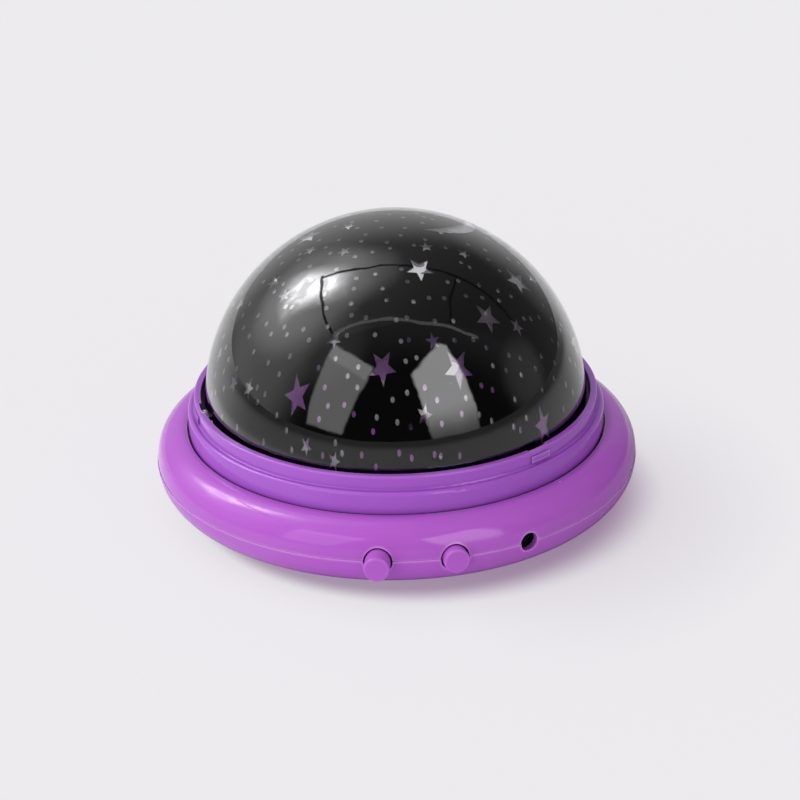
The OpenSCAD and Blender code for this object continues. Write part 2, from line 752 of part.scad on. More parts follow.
module turntable_clips() color(dark_plastic) {
    for (az = clip_az) difference() {
        intersection() {
            ring(clip_screw_r - 4, clip_reach, deck_top, seat_top);
            radial_block(az, clip_w, clip_screw_r - 4, clip_reach + 1, deck_top, seat_top);
        }
        translate(polar(clip_screw_r, az)) rod(1.1, deck_top - 1, seat_top + 1);
    }
}
module clip_screws() color(steel)
    for (az = clip_az) translate(polar(clip_screw_r, az)) translate([0, 0, seat_top])
        screw(small_screw_r, clip_t + deck_t + 1.4, small_head_r, small_head_h, -1);

// AA cell with its button end towards +X when side is 1 and towards -X when it is -1
module cell(row, side) {
    nub_r = 2.7;
    nub_h = 1.2;
    tip_x = bay_half_x - contact_t - fit;
    translate([0, bay_y + (row - 2) * cell_pitch, cell_z]) mirror([side > 0 ? 0 : 1, 0, 0])
        translate([tip_x - cell_l, 0, 0]) rotate([0, 90, 0]) {
            cylinder(r = cell_r, h = cell_l - nub_h);
            cylinder(r = nub_r, h = cell_l);
        }
}
module battery_1() color([0.75, 0.5, 0.15]) cell(1, 1);
module battery_2() color([0.75, 0.5, 0.15]) cell(2, -1);
module battery_3() color([0.75, 0.5, 0.15]) cell(3, 1);

// Contact sheet on the end wall at side, over the rows first to last
module contact(side, first, last) {
    w = 9;
    y0 = bay_y + (first - 2) * cell_pitch - w / 2;
    y1 = bay_y + (last - 2) * cell_pitch + w / 2;
    x0 = side > 0 ? bay_half_x - contact_t : -bay_half_x;
    translate([x0, y0, cell_z - w / 2]) cube([contact_t, y1 - y0, w]);
}
module contact_plates() color(steel) {
    contact(1, 1, 1);
    contact(1, 2, 3);
    contact(-1, 1, 2);
    contact(-1, 3, 3);
}

// Tube of radius r round a list of points; across is a direction that the route never follows
function unit(v) = v / norm(v);
module tube(points, r, across = [0, 0, 1], sides = 6) {
    count = len(points);
    dirs = [for (i = [0:count - 1])
        unit(points[min(i + 1, count - 1)] - points[max(i - 1, 0)])];
    rings = [for (i = [0:count - 1], k = [0:sides - 1])
        let (u = unit(cross(across, dirs[i])), v = cross(dirs[i], u), a = 360 * k / sides)
        points[i] + r * (cos(a) * u + sin(a) * v)];
    walls = [for (i = [0:count - 2], k = [0:sides - 1])
        let (a = i * sides + k, b = i * sides + (k + 1) % sides)
        [a, a + sides, b + sides, b]];
    ends = [[for (k = [0:sides - 1]) k],
        [for (k = [sides - 1:-1:0]) (count - 1) * sides + k]];
    polyhedron(rings, concat(walls, ends));
}

// Coil spring between a cell's flat end and the contact sheet behind it
module contact_spring(row, side) {
    turns = 4;
    steps = 14;
    wire = 0.35;
    from_x = bay_half_x - contact_t - wire - 0.1;
    run = spring_l - 2 * wire - 0.3;
    translate([0, bay_y + (row - 2) * cell_pitch, cell_z]) mirror([side > 0 ? 0 : 1, 0, 0])
        tube([for (i = [0:turns * steps])
            let (share = i / (turns * steps), r = 4 - 1.6 * share, a = 360 * i / steps)
            [from_x - run * share, r * cos(a), r * sin(a)]], wire, [1, 0, 0], 5);
}
module contact_springs() color(steel) {
    contact_spring(1, -1);
    contact_spring(2, 1);
    contact_spring(3, -1);
}

module battery_door() color(purple) {
    difference() {
        union() {
            translate([0, 0, underside]) linear_extrude(door_t) door_outline(0);
            for (x = [-14, 14]) translate([x - 0.6, bay_y - bay_half_y + 1, door_top - eps])
                cube([1.2, 2 * bay_half_y - 2, 0.4 + eps]);
        }
        for (side = [-1, 1]) translate([side * door_screw_x, bay_y]) {
            rod(door_screw_r + fit, underside - 1, door_top + 1);
            rod(2.5, underside - 1, underside + 1);
        }
        // finger grooves
        for (y = [-2, 0, 2]) translate([-6, bay_y + bay_half_y - 4 + y - 0.5, underside - 1])
            cube([12, 1, 1.5]);
    }
}
module door_screws() color(steel)
    for (side = [-1, 1]) translate([side * door_screw_x, bay_y, underside + 1])
        screw(door_screw_r, 7, 2.3, 0.9, 1);

module rubber_feet() color(rubber)
    for (az = quarters) translate(polar(foot_pitch_r, az))
        rod(foot_r, 0, underside + foot_sink - fit);

module housing_screws() color(steel)
    for (az = diagonals) translate(polar(screw_pitch_r, az))
        translate([0, 0, head_pocket_top - fit])
            screw(screw_r, screw_top - head_pocket_top, head_r, head_h, 1);

// Wires, as routes of round points between the heights and edges of what they join
wire_r = 0.55;
board_edge = pcb_in_r;
motor_side = pinion_at[1] - motor_r - 0.8;
under = deck_under - 1.5;
low = pcb_z - 0.6;
module led_wires() color([0.8, 0.1, 0.1])
    for (side = [0, 1]) translate([1.4 * side, 0, 0])
        tube([[10, -board_edge - 2, pcb_top + 0.1], [10, -board_edge - 1.4, pcb_top + 2.2],
            [10, 2.2 - deck_r + deck_t, well_under - 1.4], [10, 5.2 - deck_r + deck_t, under - 1.9],
            [9.4, -32, under - 0.4], [7.4, -24, under], [5, -16, under + 0.1],
            [2.4, -8.6, under - 0.1], [0.4, -3.8, under - 0.1], [-0.5, -1.4, under + 0.1],
            [-0.7, -0.2, under + 1.2], [-0.7, 0, deck_top - 0.6],
            [-0.7, 0, board_z - 0.1]], wire_r, [1, 0, 0]);
module motor_wires() color([0.9, 0.75, 0.1])
    for (side = [0, 1]) translate([2.4 * side, 0, 0])
        tube([[-7.6, -board_edge - 1.4, pcb_top + 0.1], [-7.6, -board_edge - 1.2, pcb_top + 1.2],
            [-7.7, -board_edge - 0.4, pcb_top + 2.2], [-7.9, -board_edge + 1.2, pcb_top + 2.6],
            [-8.2, -board_edge + 3, pcb_top + 2.3], [-8.6, motor_side - 1.6, pcb_top + 1.7],
            [-9, motor_side, pcb_top + 0.8]], wire_r, [1, 0, 0]);
module battery_wires() color([0.1, 0.1, 0.1]) {
    tube([[bay_half_x + 0.2, bay_y - cell_pitch, cell_z],
        [bay_half_x + 2.9, bay_y - cell_pitch - 0.4, cell_z],
        [bay_half_x + 4.5, bay_y - cell_pitch - 3.8, low + 1.4],
        [32.4, -16, low], [28, -28, low - 0.6], [22, -36, low - 0.4],
        [17, -board_edge + 5, low], [12.8, -board_edge + 1.6, low]], wire_r);
    tube([[-bay_half_x - 0.2, bay_y + cell_pitch, cell_z],
        [-bay_half_x - 3.1, bay_y + cell_pitch - 0.6, cell_z],
        [-bay_half_x - 5.9, bay_y + cell_pitch - 5, door_boss_top + 1.2],
        [-42, 12, door_boss_top + 1.4], [-43.6, 0, door_boss_top + 0.6], [-41, -14, low + 1],
        [-36.4, -26, low - 0.4], [-28, -38.6, low - 0.6], [-19, -board_edge + 4, low - 0.2],
        [-15.4, -board_edge + 2.4, low]], wire_r);
}

bottom_housing();
top_cover();
turntable();
dome_shell();
star_film();
light_button();
rotation_button();
light_plunger();
rotation_plunger();
light_switch();
rotation_switch();
dc_jack();
jack_pin();
main_pcb();
pcb_components();
pcb_screws();
led_board();
led_white();
led_red();
led_green();
led_blue();
led_board_screws();
motor_can();
motor_plate();
motor_shaft();
motor_screws();
drive_pinion();
idler_gear();
idler_axle();
turntable_clips();
clip_screws();
battery_1();
battery_2();
battery_3();
contact_plates();
contact_springs();
battery_door();
door_screws();
rubber_feet();
housing_screws();
led_wires();
motor_wires();
battery_wires();
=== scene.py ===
# %% [markdown]
# # A star night light projector, dressed for a studio
# The solids of the projector come from its engineering model. This file gives each of them the
# finish that it has on the real thing, adds the few thin pieces that a solid model leaves out,
# and stands it on a pale floor in soft light.

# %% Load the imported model
import bpy
import bmesh
import math
from mathutils import Matrix, Vector, noise


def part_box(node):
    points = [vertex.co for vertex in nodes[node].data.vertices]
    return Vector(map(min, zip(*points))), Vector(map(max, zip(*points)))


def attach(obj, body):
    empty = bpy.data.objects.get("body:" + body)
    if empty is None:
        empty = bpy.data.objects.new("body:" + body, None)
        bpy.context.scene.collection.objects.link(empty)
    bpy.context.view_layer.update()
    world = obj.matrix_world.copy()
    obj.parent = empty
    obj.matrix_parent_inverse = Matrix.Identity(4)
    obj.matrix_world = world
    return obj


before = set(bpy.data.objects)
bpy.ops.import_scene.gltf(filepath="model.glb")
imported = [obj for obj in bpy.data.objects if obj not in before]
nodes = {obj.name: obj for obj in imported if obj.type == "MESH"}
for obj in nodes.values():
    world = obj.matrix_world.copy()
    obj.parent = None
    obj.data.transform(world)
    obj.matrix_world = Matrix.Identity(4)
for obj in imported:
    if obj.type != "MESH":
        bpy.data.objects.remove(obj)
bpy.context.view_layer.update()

# %% [markdown]
# ## Sizes that the pieces share
# A thin piece has to sit exactly on what carries it, so its place is read from the solids and
# not guessed: the joint line is the lowest edge on the upper half's outer wall, and the dome's
# centre is one radius under its highest point.

# %% Measure the solids
MM = 0.001
DOME_RADIUS = 55.5 * MM
base_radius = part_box("bottom_housing")[1].x
dome_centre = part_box("dome_shell")[1].z - DOME_RADIUS
film_low, film_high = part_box("star_film")
film_radius = film_high.z - dome_centre
joint_height = min(vert.co.z for vert in nodes["top_cover"].data.vertices
                   if math.hypot(vert.co.x, vert.co.y) > base_radius - 1 * MM)
print("base radius", base_radius, "joint line", joint_height, "dome centre", dome_centre)

# %% [markdown]
# ## Camera
# A long lens from about 25 degrees above the table keeps the rings round and the buttons in
# front. The camera is turned by about a degree, as a hand-held one is. Its place is given as a
# direction, the way the lamps and the stars are further down: by a turn round the object and a
# rise above the table.

# %% Camera
VIEW_TURN, VIEW_RISE, VIEW_ROLL = -12.8, 25.42, math.radians(-1.09)
LOOK_AT = Vector((1.23, -0.28, 29.73)) * MM
DISTANCE = 0.8
FOCAL_LENGTH, SENSOR = 123.51, 36


def direction(turn, rise):
    """Unit vector: turn from -Y towards +X and rise above the horizon, in degrees."""
    turn, rise = math.radians(turn), math.radians(rise)
    return Vector((math.sin(turn) * math.cos(rise), -math.cos(turn) * math.cos(rise),
                   math.sin(rise)))


back = direction(VIEW_TURN, VIEW_RISE)
right = (-back).cross(Vector((0, 0, 1))).normalized()
up = right.cross(-back)
tilted_right = right * math.cos(VIEW_ROLL) + up * math.sin(VIEW_ROLL)
tilted_up = up * math.cos(VIEW_ROLL) - right * math.sin(VIEW_ROLL)
lens = bpy.data.cameras.new("camera")
lens.lens, lens.sensor_width = FOCAL_LENGTH, SENSOR
lens.clip_start, lens.clip_end = 0.01, 50
camera = bpy.data.objects.new("camera", lens)
turned = Matrix((tilted_right, tilted_up, back)).transposed()
camera.matrix_world = Matrix.Translation(LOOK_AT + back * DISTANCE) @ turned.to_4x4()
bpy.context.scene.collection.objects.link(camera)
bpy.context.scene.camera = camera
print("camera at", tuple(round(c, 3) for c in camera.matrix_world.translation))

# %% [markdown]
# ## Helpers for node trees
# A material is a small graph. These helpers add a node and wire it in one line, so that the
# cells below can read like a recipe. An input is either a number or the output of another node.

# %% Node helpers
COLOUR, NUMBER, VECTOR = "NodeSocketColor", "NodeSocketFloat", "NodeSocketVector"


def put(tree, kind, wires=None, **settings):
    node = tree.nodes.new(kind)
    for name, value in settings.items():
        setattr(node, name, value)
    for name, value in (wires or {}).items():
        if isinstance(value, bpy.types.NodeSocket):
            tree.links.new(value, node.inputs[name])
        else:
            node.inputs[name].default_value = value
    return node


def calc(tree, operation, first, second=0.0, third=0.0, clamp=False):
    wires = {0: first, 1: second, 2: third}
    return put(tree, "ShaderNodeMath", wires, operation=operation, use_clamp=clamp).outputs[0]


def combine(tree, operation, parts):
    """One operation over many parts, such as the sum of all lamps."""
    result = parts[0]
    for part in parts[1:]:
        result = calc(tree, operation, result, part)
    return result


def rest_of(tree, share):
    return calc(tree, "SUBTRACT", 1.0, share)


def vector_calc(tree, operation, first, second=(0, 0, 0)):
    return put(tree, "ShaderNodeVectorMath", {0: first, 1: second}, operation=operation)


def unit(tree, vector):
    return vector_calc(tree, "NORMALIZE", vector).outputs[0]


def length(tree, vector):
    return vector_calc(tree, "LENGTH", vector).outputs["Value"]


def dot(tree, vector, other):
    """How much of one vector lies along the other. Of two unit vectors: their angle's cosine."""
    return vector_calc(tree, "DOT_PRODUCT", vector, other).outputs["Value"]


def scaled(tree, vector, factor):
    node = vector_calc(tree, "SCALE", vector)
    tree.links.new(factor, node.inputs["Scale"])
    return node.outputs[0]


def part_of(tree, vector, axis):
    return put(tree, "ShaderNodeSeparateXYZ", {0: vector}).outputs[axis]


def ramp_between(tree, value, low, high, to_low=0.0, to_high=1.0, smooth=True):
    kind = "SMOOTHSTEP" if smooth else "LINEAR"
    wires = {"Value": value, "From Min": low, "From Max": high, "To Min": to_low,
             "To Max": to_high}
    return put(tree, "ShaderNodeMapRange", wires, interpolation_type=kind).outputs["Result"]


def mix_colour(tree, share, first, second):
    node = put(tree, "ShaderNodeMix", data_type="RGBA")
    for index, value in ((0, share), (6, first), (7, second)):
        if isinstance(value, bpy.types.NodeSocket):
            tree.links.new(value, node.inputs[index])
        else:
            node.inputs[index].default_value = value
    return node.outputs[2]


def paint(red, green, blue):
    """A colour as it looks on a screen, 0 to 255, in the linear numbers that shaders use."""
    def linear(part):
        part /= 255
        return part / 12.92 if part <= 0.04045 else ((part + 0.055) / 1.055) ** 2.4
    return (linear(red), linear(green), linear(blue), 1)


def noise_at(tree, place, scale, detail=2.0):
    wires = {"Vector": place, "Scale": scale, "Detail": detail}
    return put(tree, "ShaderNodeTexNoise", wires).outputs["Fac"]


def bump(tree, height, strength, distance):
    wires = {"Height": height, "Strength": strength, "Distance": distance}
    return put(tree, "ShaderNodeBump", wires).outputs["Normal"]


def object_place(tree):
    return put(tree, "ShaderNodeTexCoord").outputs["Object"]


print("node helpers ready")


# %% Group and material helpers
def new_group(name, inputs, outputs):
    group = bpy.data.node_groups.new(name, "ShaderNodeTree")
    for socket_name, kind, value in inputs:
        socket = group.interface.new_socket(socket_name, in_out="INPUT", socket_type=kind)
        socket.default_value = value
    for socket_name, kind in outputs:
        group.interface.new_socket(socket_name, in_out="OUTPUT", socket_type=kind)
    given = group.nodes.new("NodeGroupInput").outputs
    return group, given, group.nodes.new("NodeGroupOutput").inputs


def use_group(tree, group, **wires):
    node = tree.nodes.new("ShaderNodeGroup")
    node.node_tree = group
    for name, value in wires.items():
        socket = node.inputs[name.replace("_", " ")]
        if isinstance(value, bpy.types.NodeSocket):
            tree.links.new(value, socket)
        else:
            socket.default_value = value
    return node.outputs


def new_material(name, **fixed):
    material = bpy.data.materials.new(name)
    material.use_nodes = True
    tree = material.node_tree
    shader = tree.nodes["Principled BSDF"]
    for socket, value in fixed.items():
        shader.inputs[socket.replace("_", " ")].default_value = value
    return material, tree, shader


def wire(tree, shader, **sockets):
    for name, value in sockets.items():
        tree.links.new(value, shader.inputs[name.replace("_", " ")])


def finish_node(name, material):
    for slot in nodes[name].material_slots:
        slot.material = material


print("group and material helpers ready")

# %% [markdown]
# ## Moulded plastic
# Injection-moulded parts are never quite even. The melt leaves faint flow streaks, the polish of
# the mould varies a little, and dust settles on the shine. One group makes these for every
# plastic on the object: each material then asks for its own amounts.

# %% Group: moulded plastic
FLOW = (18, 18, 160)  # streaks to a metre along each axis: long ones that lie level
CLOUDS, SPECKS, DUSTY_PLACES, SOFT_WAVES, FINE_GRAIN = 45, 260, 90, 60, 1500  # to a metre
DUST = (0.8, 0.78, 0.8, 1)

moulded, given, out = new_group(
    "moulded_plastic",
    [("Colour", COLOUR, (0.5, 0.5, 0.5, 1)), ("Roughness", NUMBER, 0.3), ("Streaks", NUMBER, 0.3),
     ("Dust", NUMBER, 0.3), ("Grain", NUMBER, 0.1)],
    [("Colour", COLOUR), ("Roughness", NUMBER), ("Height", NUMBER)])
place = object_place(moulded)
stretched = put(moulded, "ShaderNodeMapping", {"Vector": place, "Scale": FLOW}).outputs[0]
streak = noise_at(moulded, stretched, 1.0, 3)
cloud = noise_at(moulded, place, CLOUDS, 2)
uneven = calc(moulded, "MULTIPLY_ADD", calc(moulded, "SUBTRACT", streak, 0.5), 0.5,
              calc(moulded, "SUBTRACT", cloud, 0.5))
tone = calc(moulded, "MULTIPLY_ADD", calc(moulded, "MULTIPLY", uneven, given["Streaks"]), 0.5, 1.0)
toned = scaled(moulded, given["Colour"], tone)
speck = put(moulded, "ShaderNodeTexVoronoi", {"Vector": place, "Scale": SPECKS, "Randomness": 1.0})
speck_size = ramp_between(moulded, noise_at(moulded, place, DUSTY_PLACES), 0.58, 0.75, 0.0, 0.1)
is_speck = calc(moulded, "LESS_THAN", speck.outputs["Distance"], speck_size)
dusty = calc(moulded, "MULTIPLY", is_speck, given["Dust"])
moulded.links.new(mix_colour(moulded, dusty, toned, DUST), out["Colour"])
shine = calc(moulded, "MULTIPLY_ADD", uneven, 0.25, given["Roughness"])
rough = calc(moulded, "MULTIPLY_ADD", dusty, 0.4, shine, clamp=True)
moulded.links.new(rough, out["Roughness"])
grain = calc(moulded, "MULTIPLY", noise_at(moulded, place, FINE_GRAIN, 1), given["Grain"])
wavy = noise_at(moulded, place, SOFT_WAVES, 1)
moulded.links.new(calc(moulded, "ADD", wavy, grain), out["Height"])
print("group", moulded.name)

# %% [markdown]
# ## The purple plastic
# The base, the collar, the buttons and the battery door are one soft, glossy purple plastic.
# Its thin edges are coloured paler, as a painted highlight, and its grooves deeper, as painted
# shade. Both are measured from the solid itself: short rays inwards find an edge, and short rays
# outwards find a groove. The collar gets its own copy of the colour, a little bluer.

# %% Purple plastic
EDGE_DEPTH, GROOVE_WIDTH = 0.9 * MM, 7 * MM


def open_share(tree, distance, samples, **settings):
    """How many of the rays that leave this point go further than the distance."""
    return put(tree, "ShaderNodeAmbientOcclusion", {"Distance": distance}, samples=samples,
               **settings).outputs["AO"]


def purple_plastic(name, colour, pale, groove_shade_colour):
    material, tree, shader = new_material(name, IOR=1.49)
    surface = use_group(tree, moulded, Colour=colour, Roughness=0.07, Streaks=0.12, Dust=0.5,
                        Grain=0.05)
    inwards = open_share(tree, EDGE_DEPTH, 6, inside=True, only_local=True)
    outwards = open_share(tree, GROOVE_WIDTH, 8)
    # A paler colour on thin edges is a painted highlight, and a deeper one in grooves is painted
    # shade.
    edge = ramp_between(tree, inwards, 0.9, 0.45, 0.0, 0.6)
    painted_groove_shade = ramp_between(tree, outwards, 0.8, 0.3, 0.0, 0.85)
    with_painted_edge_highlight = mix_colour(tree, edge, surface["Colour"], pale)
    wire(tree, shader, Base_Color=mix_colour(tree, painted_groove_shade, with_painted_edge_highlight, groove_shade_colour),
         Roughness=surface["Roughness"], Normal=bump(tree, surface["Height"], 0.25, 0.4 * MM))
    return material


purple = purple_plastic("purple_plastic", colour=paint(183, 95, 205), pale=paint(232, 160, 243),
                        groove_shade_colour=paint(88, 30, 112))
bluer = purple_plastic("purple_collar", colour=paint(170, 92, 205), pale=paint(222, 166, 244),
                       groove_shade_colour=paint(76, 28, 112))
for name in ("bottom_housing", "top_cover", "light_button", "rotation_button", "battery_door"):
    finish_node(name, purple)
finish_node("turntable", bluer)
print("purple plastic on 6 solids")

# %% [markdown]
# ## The clear dome
# The dome is polystyrene, which bends light more than most plastics do and so shines more. Its
# wall is real, so both faces reflect. A cheap mould leaves long soft waves in it, which a bump
# shows, and here and there a little haze.

# %% Clear dome
LONG_WAVES, RIPPLES, HAZY_PLACES = 38, 420, 70  # to a metre

clear, tree, shader = new_material("clear_dome", IOR=1.58, Transmission_Weight=1.0,
                                   Coat_Weight=1.0, Coat_Roughness=0.0, Coat_IOR=1.55)
shader.inputs["Base Color"].default_value = (0.97, 0.97, 0.975, 1)
place = object_place(tree)
waves = noise_at(tree, place, LONG_WAVES, 2)
height = calc(tree, "MULTIPLY_ADD", noise_at(tree, place, RIPPLES, 1), 0.02, waves)
haze = ramp_between(tree, noise_at(tree, place, HAZY_PLACES, 3), 0.5, 0.8, 0.0, 0.03)
wavy_face = bump(tree, height, 0.2, 0.5 * MM)
wire(tree, shader, Roughness=haze, Normal=wavy_face, Coat_Normal=wavy_face)
finish_node("dome_shell", clear)
print("clear dome")

# %% [markdown]
# ## The printed sheet under the dome
# Under the dome lies a clear sheet, printed black all over except for stars, a moon and hundreds
# of small dots. It was printed flat and then drawn down over a form, so its dots stay round at
# the top and grow long towards the rim. A group unrolls the dome to the flat sheet again: the
# angle from the top becomes the distance from the middle. Scattered cells on that flat sheet
# give the dots, the way a printer's dot screen with some jitter would. No dot touches a star: the
# stars' windows are measured on the solid film first, and the cells that reach one stay empty.

# %% Find the windows of the film
DRAWN = 0.06  # how much the sheet was stretched on its way down the form
LARGEST_STAR = 8  # mm on the flat sheet, and the moon is larger


def flat_distance(angle):
    """How far from the middle of the flat sheet an angle from the top is, in millimetres."""
    return (angle - DRAWN * angle ** 3) * film_radius / MM


def on_flat_sheet(place):
    """Where a point of the dome was on the flat sheet, in millimetres."""
    ray = (place - Vector((0, 0, dome_centre))).normalized()
    return Vector((ray.x, ray.y, 0)).normalized() * flat_distance(math.acos(ray.z))


def window_walls(mesh):
    """The faces of the film that stand across it, above its foot."""
    walls = set()
    for face in mesh.faces:
        middle = face.calc_center_median()
        ray = (middle - Vector((0, 0, dome_centre))).normalized()
        if middle.z > dome_centre and abs(face.normal.dot(ray)) < 0.5:
            walls.add(face)
    return walls


def find_windows(source):
    """Middle and reach of each window, on the flat sheet."""
    mesh = bmesh.new()
    mesh.from_mesh(source.data)
    bmesh.ops.remove_doubles(mesh, verts=mesh.verts, dist=1e-6)
    walls = window_walls(mesh)
    found = []
    while walls:
        patch, waiting = [], [walls.pop()]
        while waiting:
            patch.append(waiting.pop())
            for near in [f for edge in patch[-1].edges for f in edge.link_faces if f in walls]:
                walls.discard(near)
                waiting.append(near)
        points = [on_flat_sheet(vert.co) for face in patch for vert in face.verts]
        middle = sum(points, Vector()) / len(points)
        found.append((middle, max((point - middle).length for point in points)))
    mesh.free()
    return found


windows = find_windows(nodes["star_film"])
stars = sorted(((middle, reach) for middle, reach in windows if reach < LARGEST_STAR),
               key=lambda star: tuple(star[0]))
print(len(windows), "windows,", len(stars), "stars")

# %% Group: dots of the sheet
LOWEST_DOT = math.radians(86)  # from the top
CLEAR_OF_STARS = 0.6  # mm
SOFT_EDGE = 0.22  # mm
PRINT_HEIGHT = 0.02 * MM

sheet_dots, given, out = new_group(
    "sheet_dots",
    [("Pitch", NUMBER, 5.8), ("Dot", NUMBER, 0.66), ("Jitter", NUMBER, 0.75)],
    [("Dots", NUMBER), ("Rim", NUMBER), ("Tint", NUMBER), ("Inside", NUMBER)])
place = object_place(sheet_dots)
from_centre = vector_calc(sheet_dots, "SUBTRACT", place, (0, 0, dome_centre)).outputs[0]
ray = put(sheet_dots, "ShaderNodeSeparateXYZ", {0: unit(sheet_dots, from_centre)}).outputs
from_top = calc(sheet_dots, "ARCCOSINE", ray["Z"])
level = put(sheet_dots, "ShaderNodeCombineXYZ", {"X": ray["X"], "Y": ray["Y"]}).outputs[0]
drawn_out = calc(sheet_dots, "MULTIPLY", calc(sheet_dots, "POWER", from_top, 3.0), -DRAWN)
flat_radius = calc(sheet_dots, "MULTIPLY", calc(sheet_dots, "ADD", from_top, drawn_out),
                   film_radius / MM)
flat_place = scaled(sheet_dots, unit(sheet_dots, level), flat_radius)
cells = put(sheet_dots, "ShaderNodeTexVoronoi",
            {"Vector": flat_place, "Scale": calc(sheet_dots, "DIVIDE", 1.0, given["Pitch"]),
             "Randomness": given["Jitter"]}, voronoi_dimensions="2D").outputs
from_dot = calc(sheet_dots, "MULTIPLY", cells["Distance"], given["Pitch"])
allowed = calc(sheet_dots, "LESS_THAN", length(sheet_dots, cells["Position"]),
               flat_distance(LOWEST_DOT))
for middle, reach in stars:
    away = vector_calc(sheet_dots, "DISTANCE", cells["Position"], middle).outputs["Value"]
    is_clear = calc(sheet_dots, "GREATER_THAN", away, reach + CLEAR_OF_STARS)
    allowed = calc(sheet_dots, "MULTIPLY", allowed, is_clear)
is_dot = calc(sheet_dots, "LESS_THAN", from_dot, given["Dot"])
sheet_dots.links.new(calc(sheet_dots, "MULTIPLY", is_dot, allowed), out["Dots"])
past_edge = calc(sheet_dots, "SUBTRACT", from_dot, given["Dot"])
sheet_dots.links.new(ramp_between(sheet_dots, past_edge, -SOFT_EDGE, 0.0), out["Rim"])
cell_colour = put(sheet_dots, "ShaderNodeSeparateColor", {0: cells["Color"]}).outputs
sheet_dots.links.new(cell_colour[0], out["Tint"])
under_print = calc(sheet_dots, "LESS_THAN", length(sheet_dots, from_centre),
                   film_radius + PRINT_HEIGHT)
sheet_dots.links.new(under_print, out["Inside"])
print("group", sheet_dots.name)

# %% [markdown]
# ## The black print
# The solid sheet and the ink over it share one material, which lets the dots through. Only the
# ink is black. The sheet under it is grey, so that the back of the print looks grey from inside,
# and the cut edges of the stars look like part of the clear sheet.

# %% Black print
print_black, tree, shader = new_material("star_print", Specular_IOR_Level=0.0, Roughness=0.6)
dots = use_group(tree, sheet_dots)
wire(tree, shader, Alpha=rest_of(tree, dots["Dots"]),
     Base_Color=mix_colour(tree, dots["Inside"], paint(9, 9, 10), paint(132, 128, 134)))
finish_node("star_film", print_black)
print("black print with dots")

# %% [markdown]
# ## The layer of ink
# Pressed against the dome, the ink touches the plastic, and no air is left between them. So light
# that comes in at the dome's edge ends in the ink, and isn't thrown back by the inner face. The
# ink is the outer skin of the printed sheet: a copy of its outer faces, moved out until they just
# enter the dome's inner face.

# %% Ink layer
INK_OUT = 0.12 * MM
SKIN = 0.05 * MM  # a face with a corner deeper than this isn't an outer one


def to_object(mesh, name, smooth=True):
    data = bpy.data.meshes.new(name)
    for face in mesh.faces:
        face.smooth = smooth
    mesh.to_mesh(data)
    mesh.free()
    piece = bpy.data.objects.new(name, data)
    bpy.context.scene.collection.objects.link(piece)
    print(name, len(data.polygons), "faces")
    return piece


def outer_skin(name, source, centre, out_by):
    """The outer faces of a dome-shaped solid, moved outwards by a hair."""
    def from_inside(place):
        return Vector((place.x, place.y, max(0.0, place.z - centre)))

    mesh = bmesh.new()
    mesh.from_mesh(source.data)
    bmesh.ops.remove_doubles(mesh, verts=mesh.verts, dist=1e-6)
    outside = max(from_inside(vert.co).length for vert in mesh.verts)
    inner = [face for face in mesh.faces
             if any(from_inside(vert.co).length < outside - SKIN for vert in face.verts)]
    bmesh.ops.delete(mesh, geom=inner, context="FACES")
    for vert in mesh.verts:
        vert.co += from_inside(vert.co).normalized() * out_by
    return to_object(mesh, name)


ink = outer_skin("star_ink", nodes["star_film"], dome_centre, INK_OUT)
ink.data.materials.append(print_black)
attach(ink, "dome")

# %% [markdown]
# ## The clear carrier of the print
# The stars are not holes: the clear sheet goes on behind them. The sheet is one arc, spun round
# the dome's axis, just inside the print.

# %% Carrier sheet
CARRIER_IN = 0.45 * MM
FOOT_GAP = 0.5 * MM
RINGS, SECTORS = 48, 180


def spun_arc(name, radius, height, skirt):
    """A dome-shaped sheet: an arc down to the equator and a straight skirt, spun once round."""
    mesh = bmesh.new()
    top = mesh.verts.new((0, 0, height + radius))
    bmesh.ops.spin(mesh, geom=[top], cent=(0, 0, height), axis=(0, 1, 0),
                   angle=math.radians(89.9), steps=RINGS)
    foot = max(mesh.verts, key=lambda v: v.co.x)
    low = bmesh.ops.extrude_vert_indiv(mesh, verts=[foot])["verts"]
    bmesh.ops.translate(mesh, verts=low, vec=(0, 0, -skirt))
    bmesh.ops.spin(mesh, geom=mesh.verts[:] + mesh.edges[:], cent=(0, 0, 0), axis=(0, 0, 1),
                   angle=math.tau, steps=SECTORS, use_merge=True)
    bmesh.ops.remove_doubles(mesh, verts=mesh.verts, dist=1e-7)
    bmesh.ops.recalc_face_normals(mesh, faces=mesh.faces)
    return to_object(mesh, name)


carrier = spun_arc("film_carrier", film_radius - CARRIER_IN, dome_centre,
                   dome_centre - film_low.z - FOOT_GAP)
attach(carrier, "dome")

# %% [markdown]
# ## The clear sheet's haze and painted glints
# Drawn hot over the form, the sheet is a little hazy, more so at the top. Its grey is lighter
# near the top: a painted highlight. The sheet has creases, and painted highlights stand for the
# white flashes of those that face the light: whole patches of white, small facets in five of the
# stars, and a few dots. The facets in the five stars also glow a little: a painted glow. Three
# stars lie in calm places, which the patches leave out.

# %% Clear sheet
PAINTED_GLINT_STARS = [(-84, 49), (8, 65), (-97, 77), (-111, 64), (69, 43)]  # directions from the centre
CALM_STARS = [(28, 45), (-45, 24), (-4, 21)]
GLINT_REACH, CALM_REACH = 4.8, 6  # degrees
PATCHES, PATCHES_MOVED, FACETS, MILKY_PLACES, SOFT_CRINKLES = 105, (0.031, 0, 0), 330, 30, 120


def near_one_of(tree, ray, places, reach):
    """1 where a ray points within reach degrees of one of the places, and 0 elsewhere."""
    nearest = combine(tree, "MAXIMUM", [dot(tree, ray, direction(*place)) for place in places])
    return calc(tree, "GREATER_THAN", nearest, math.cos(math.radians(reach)))


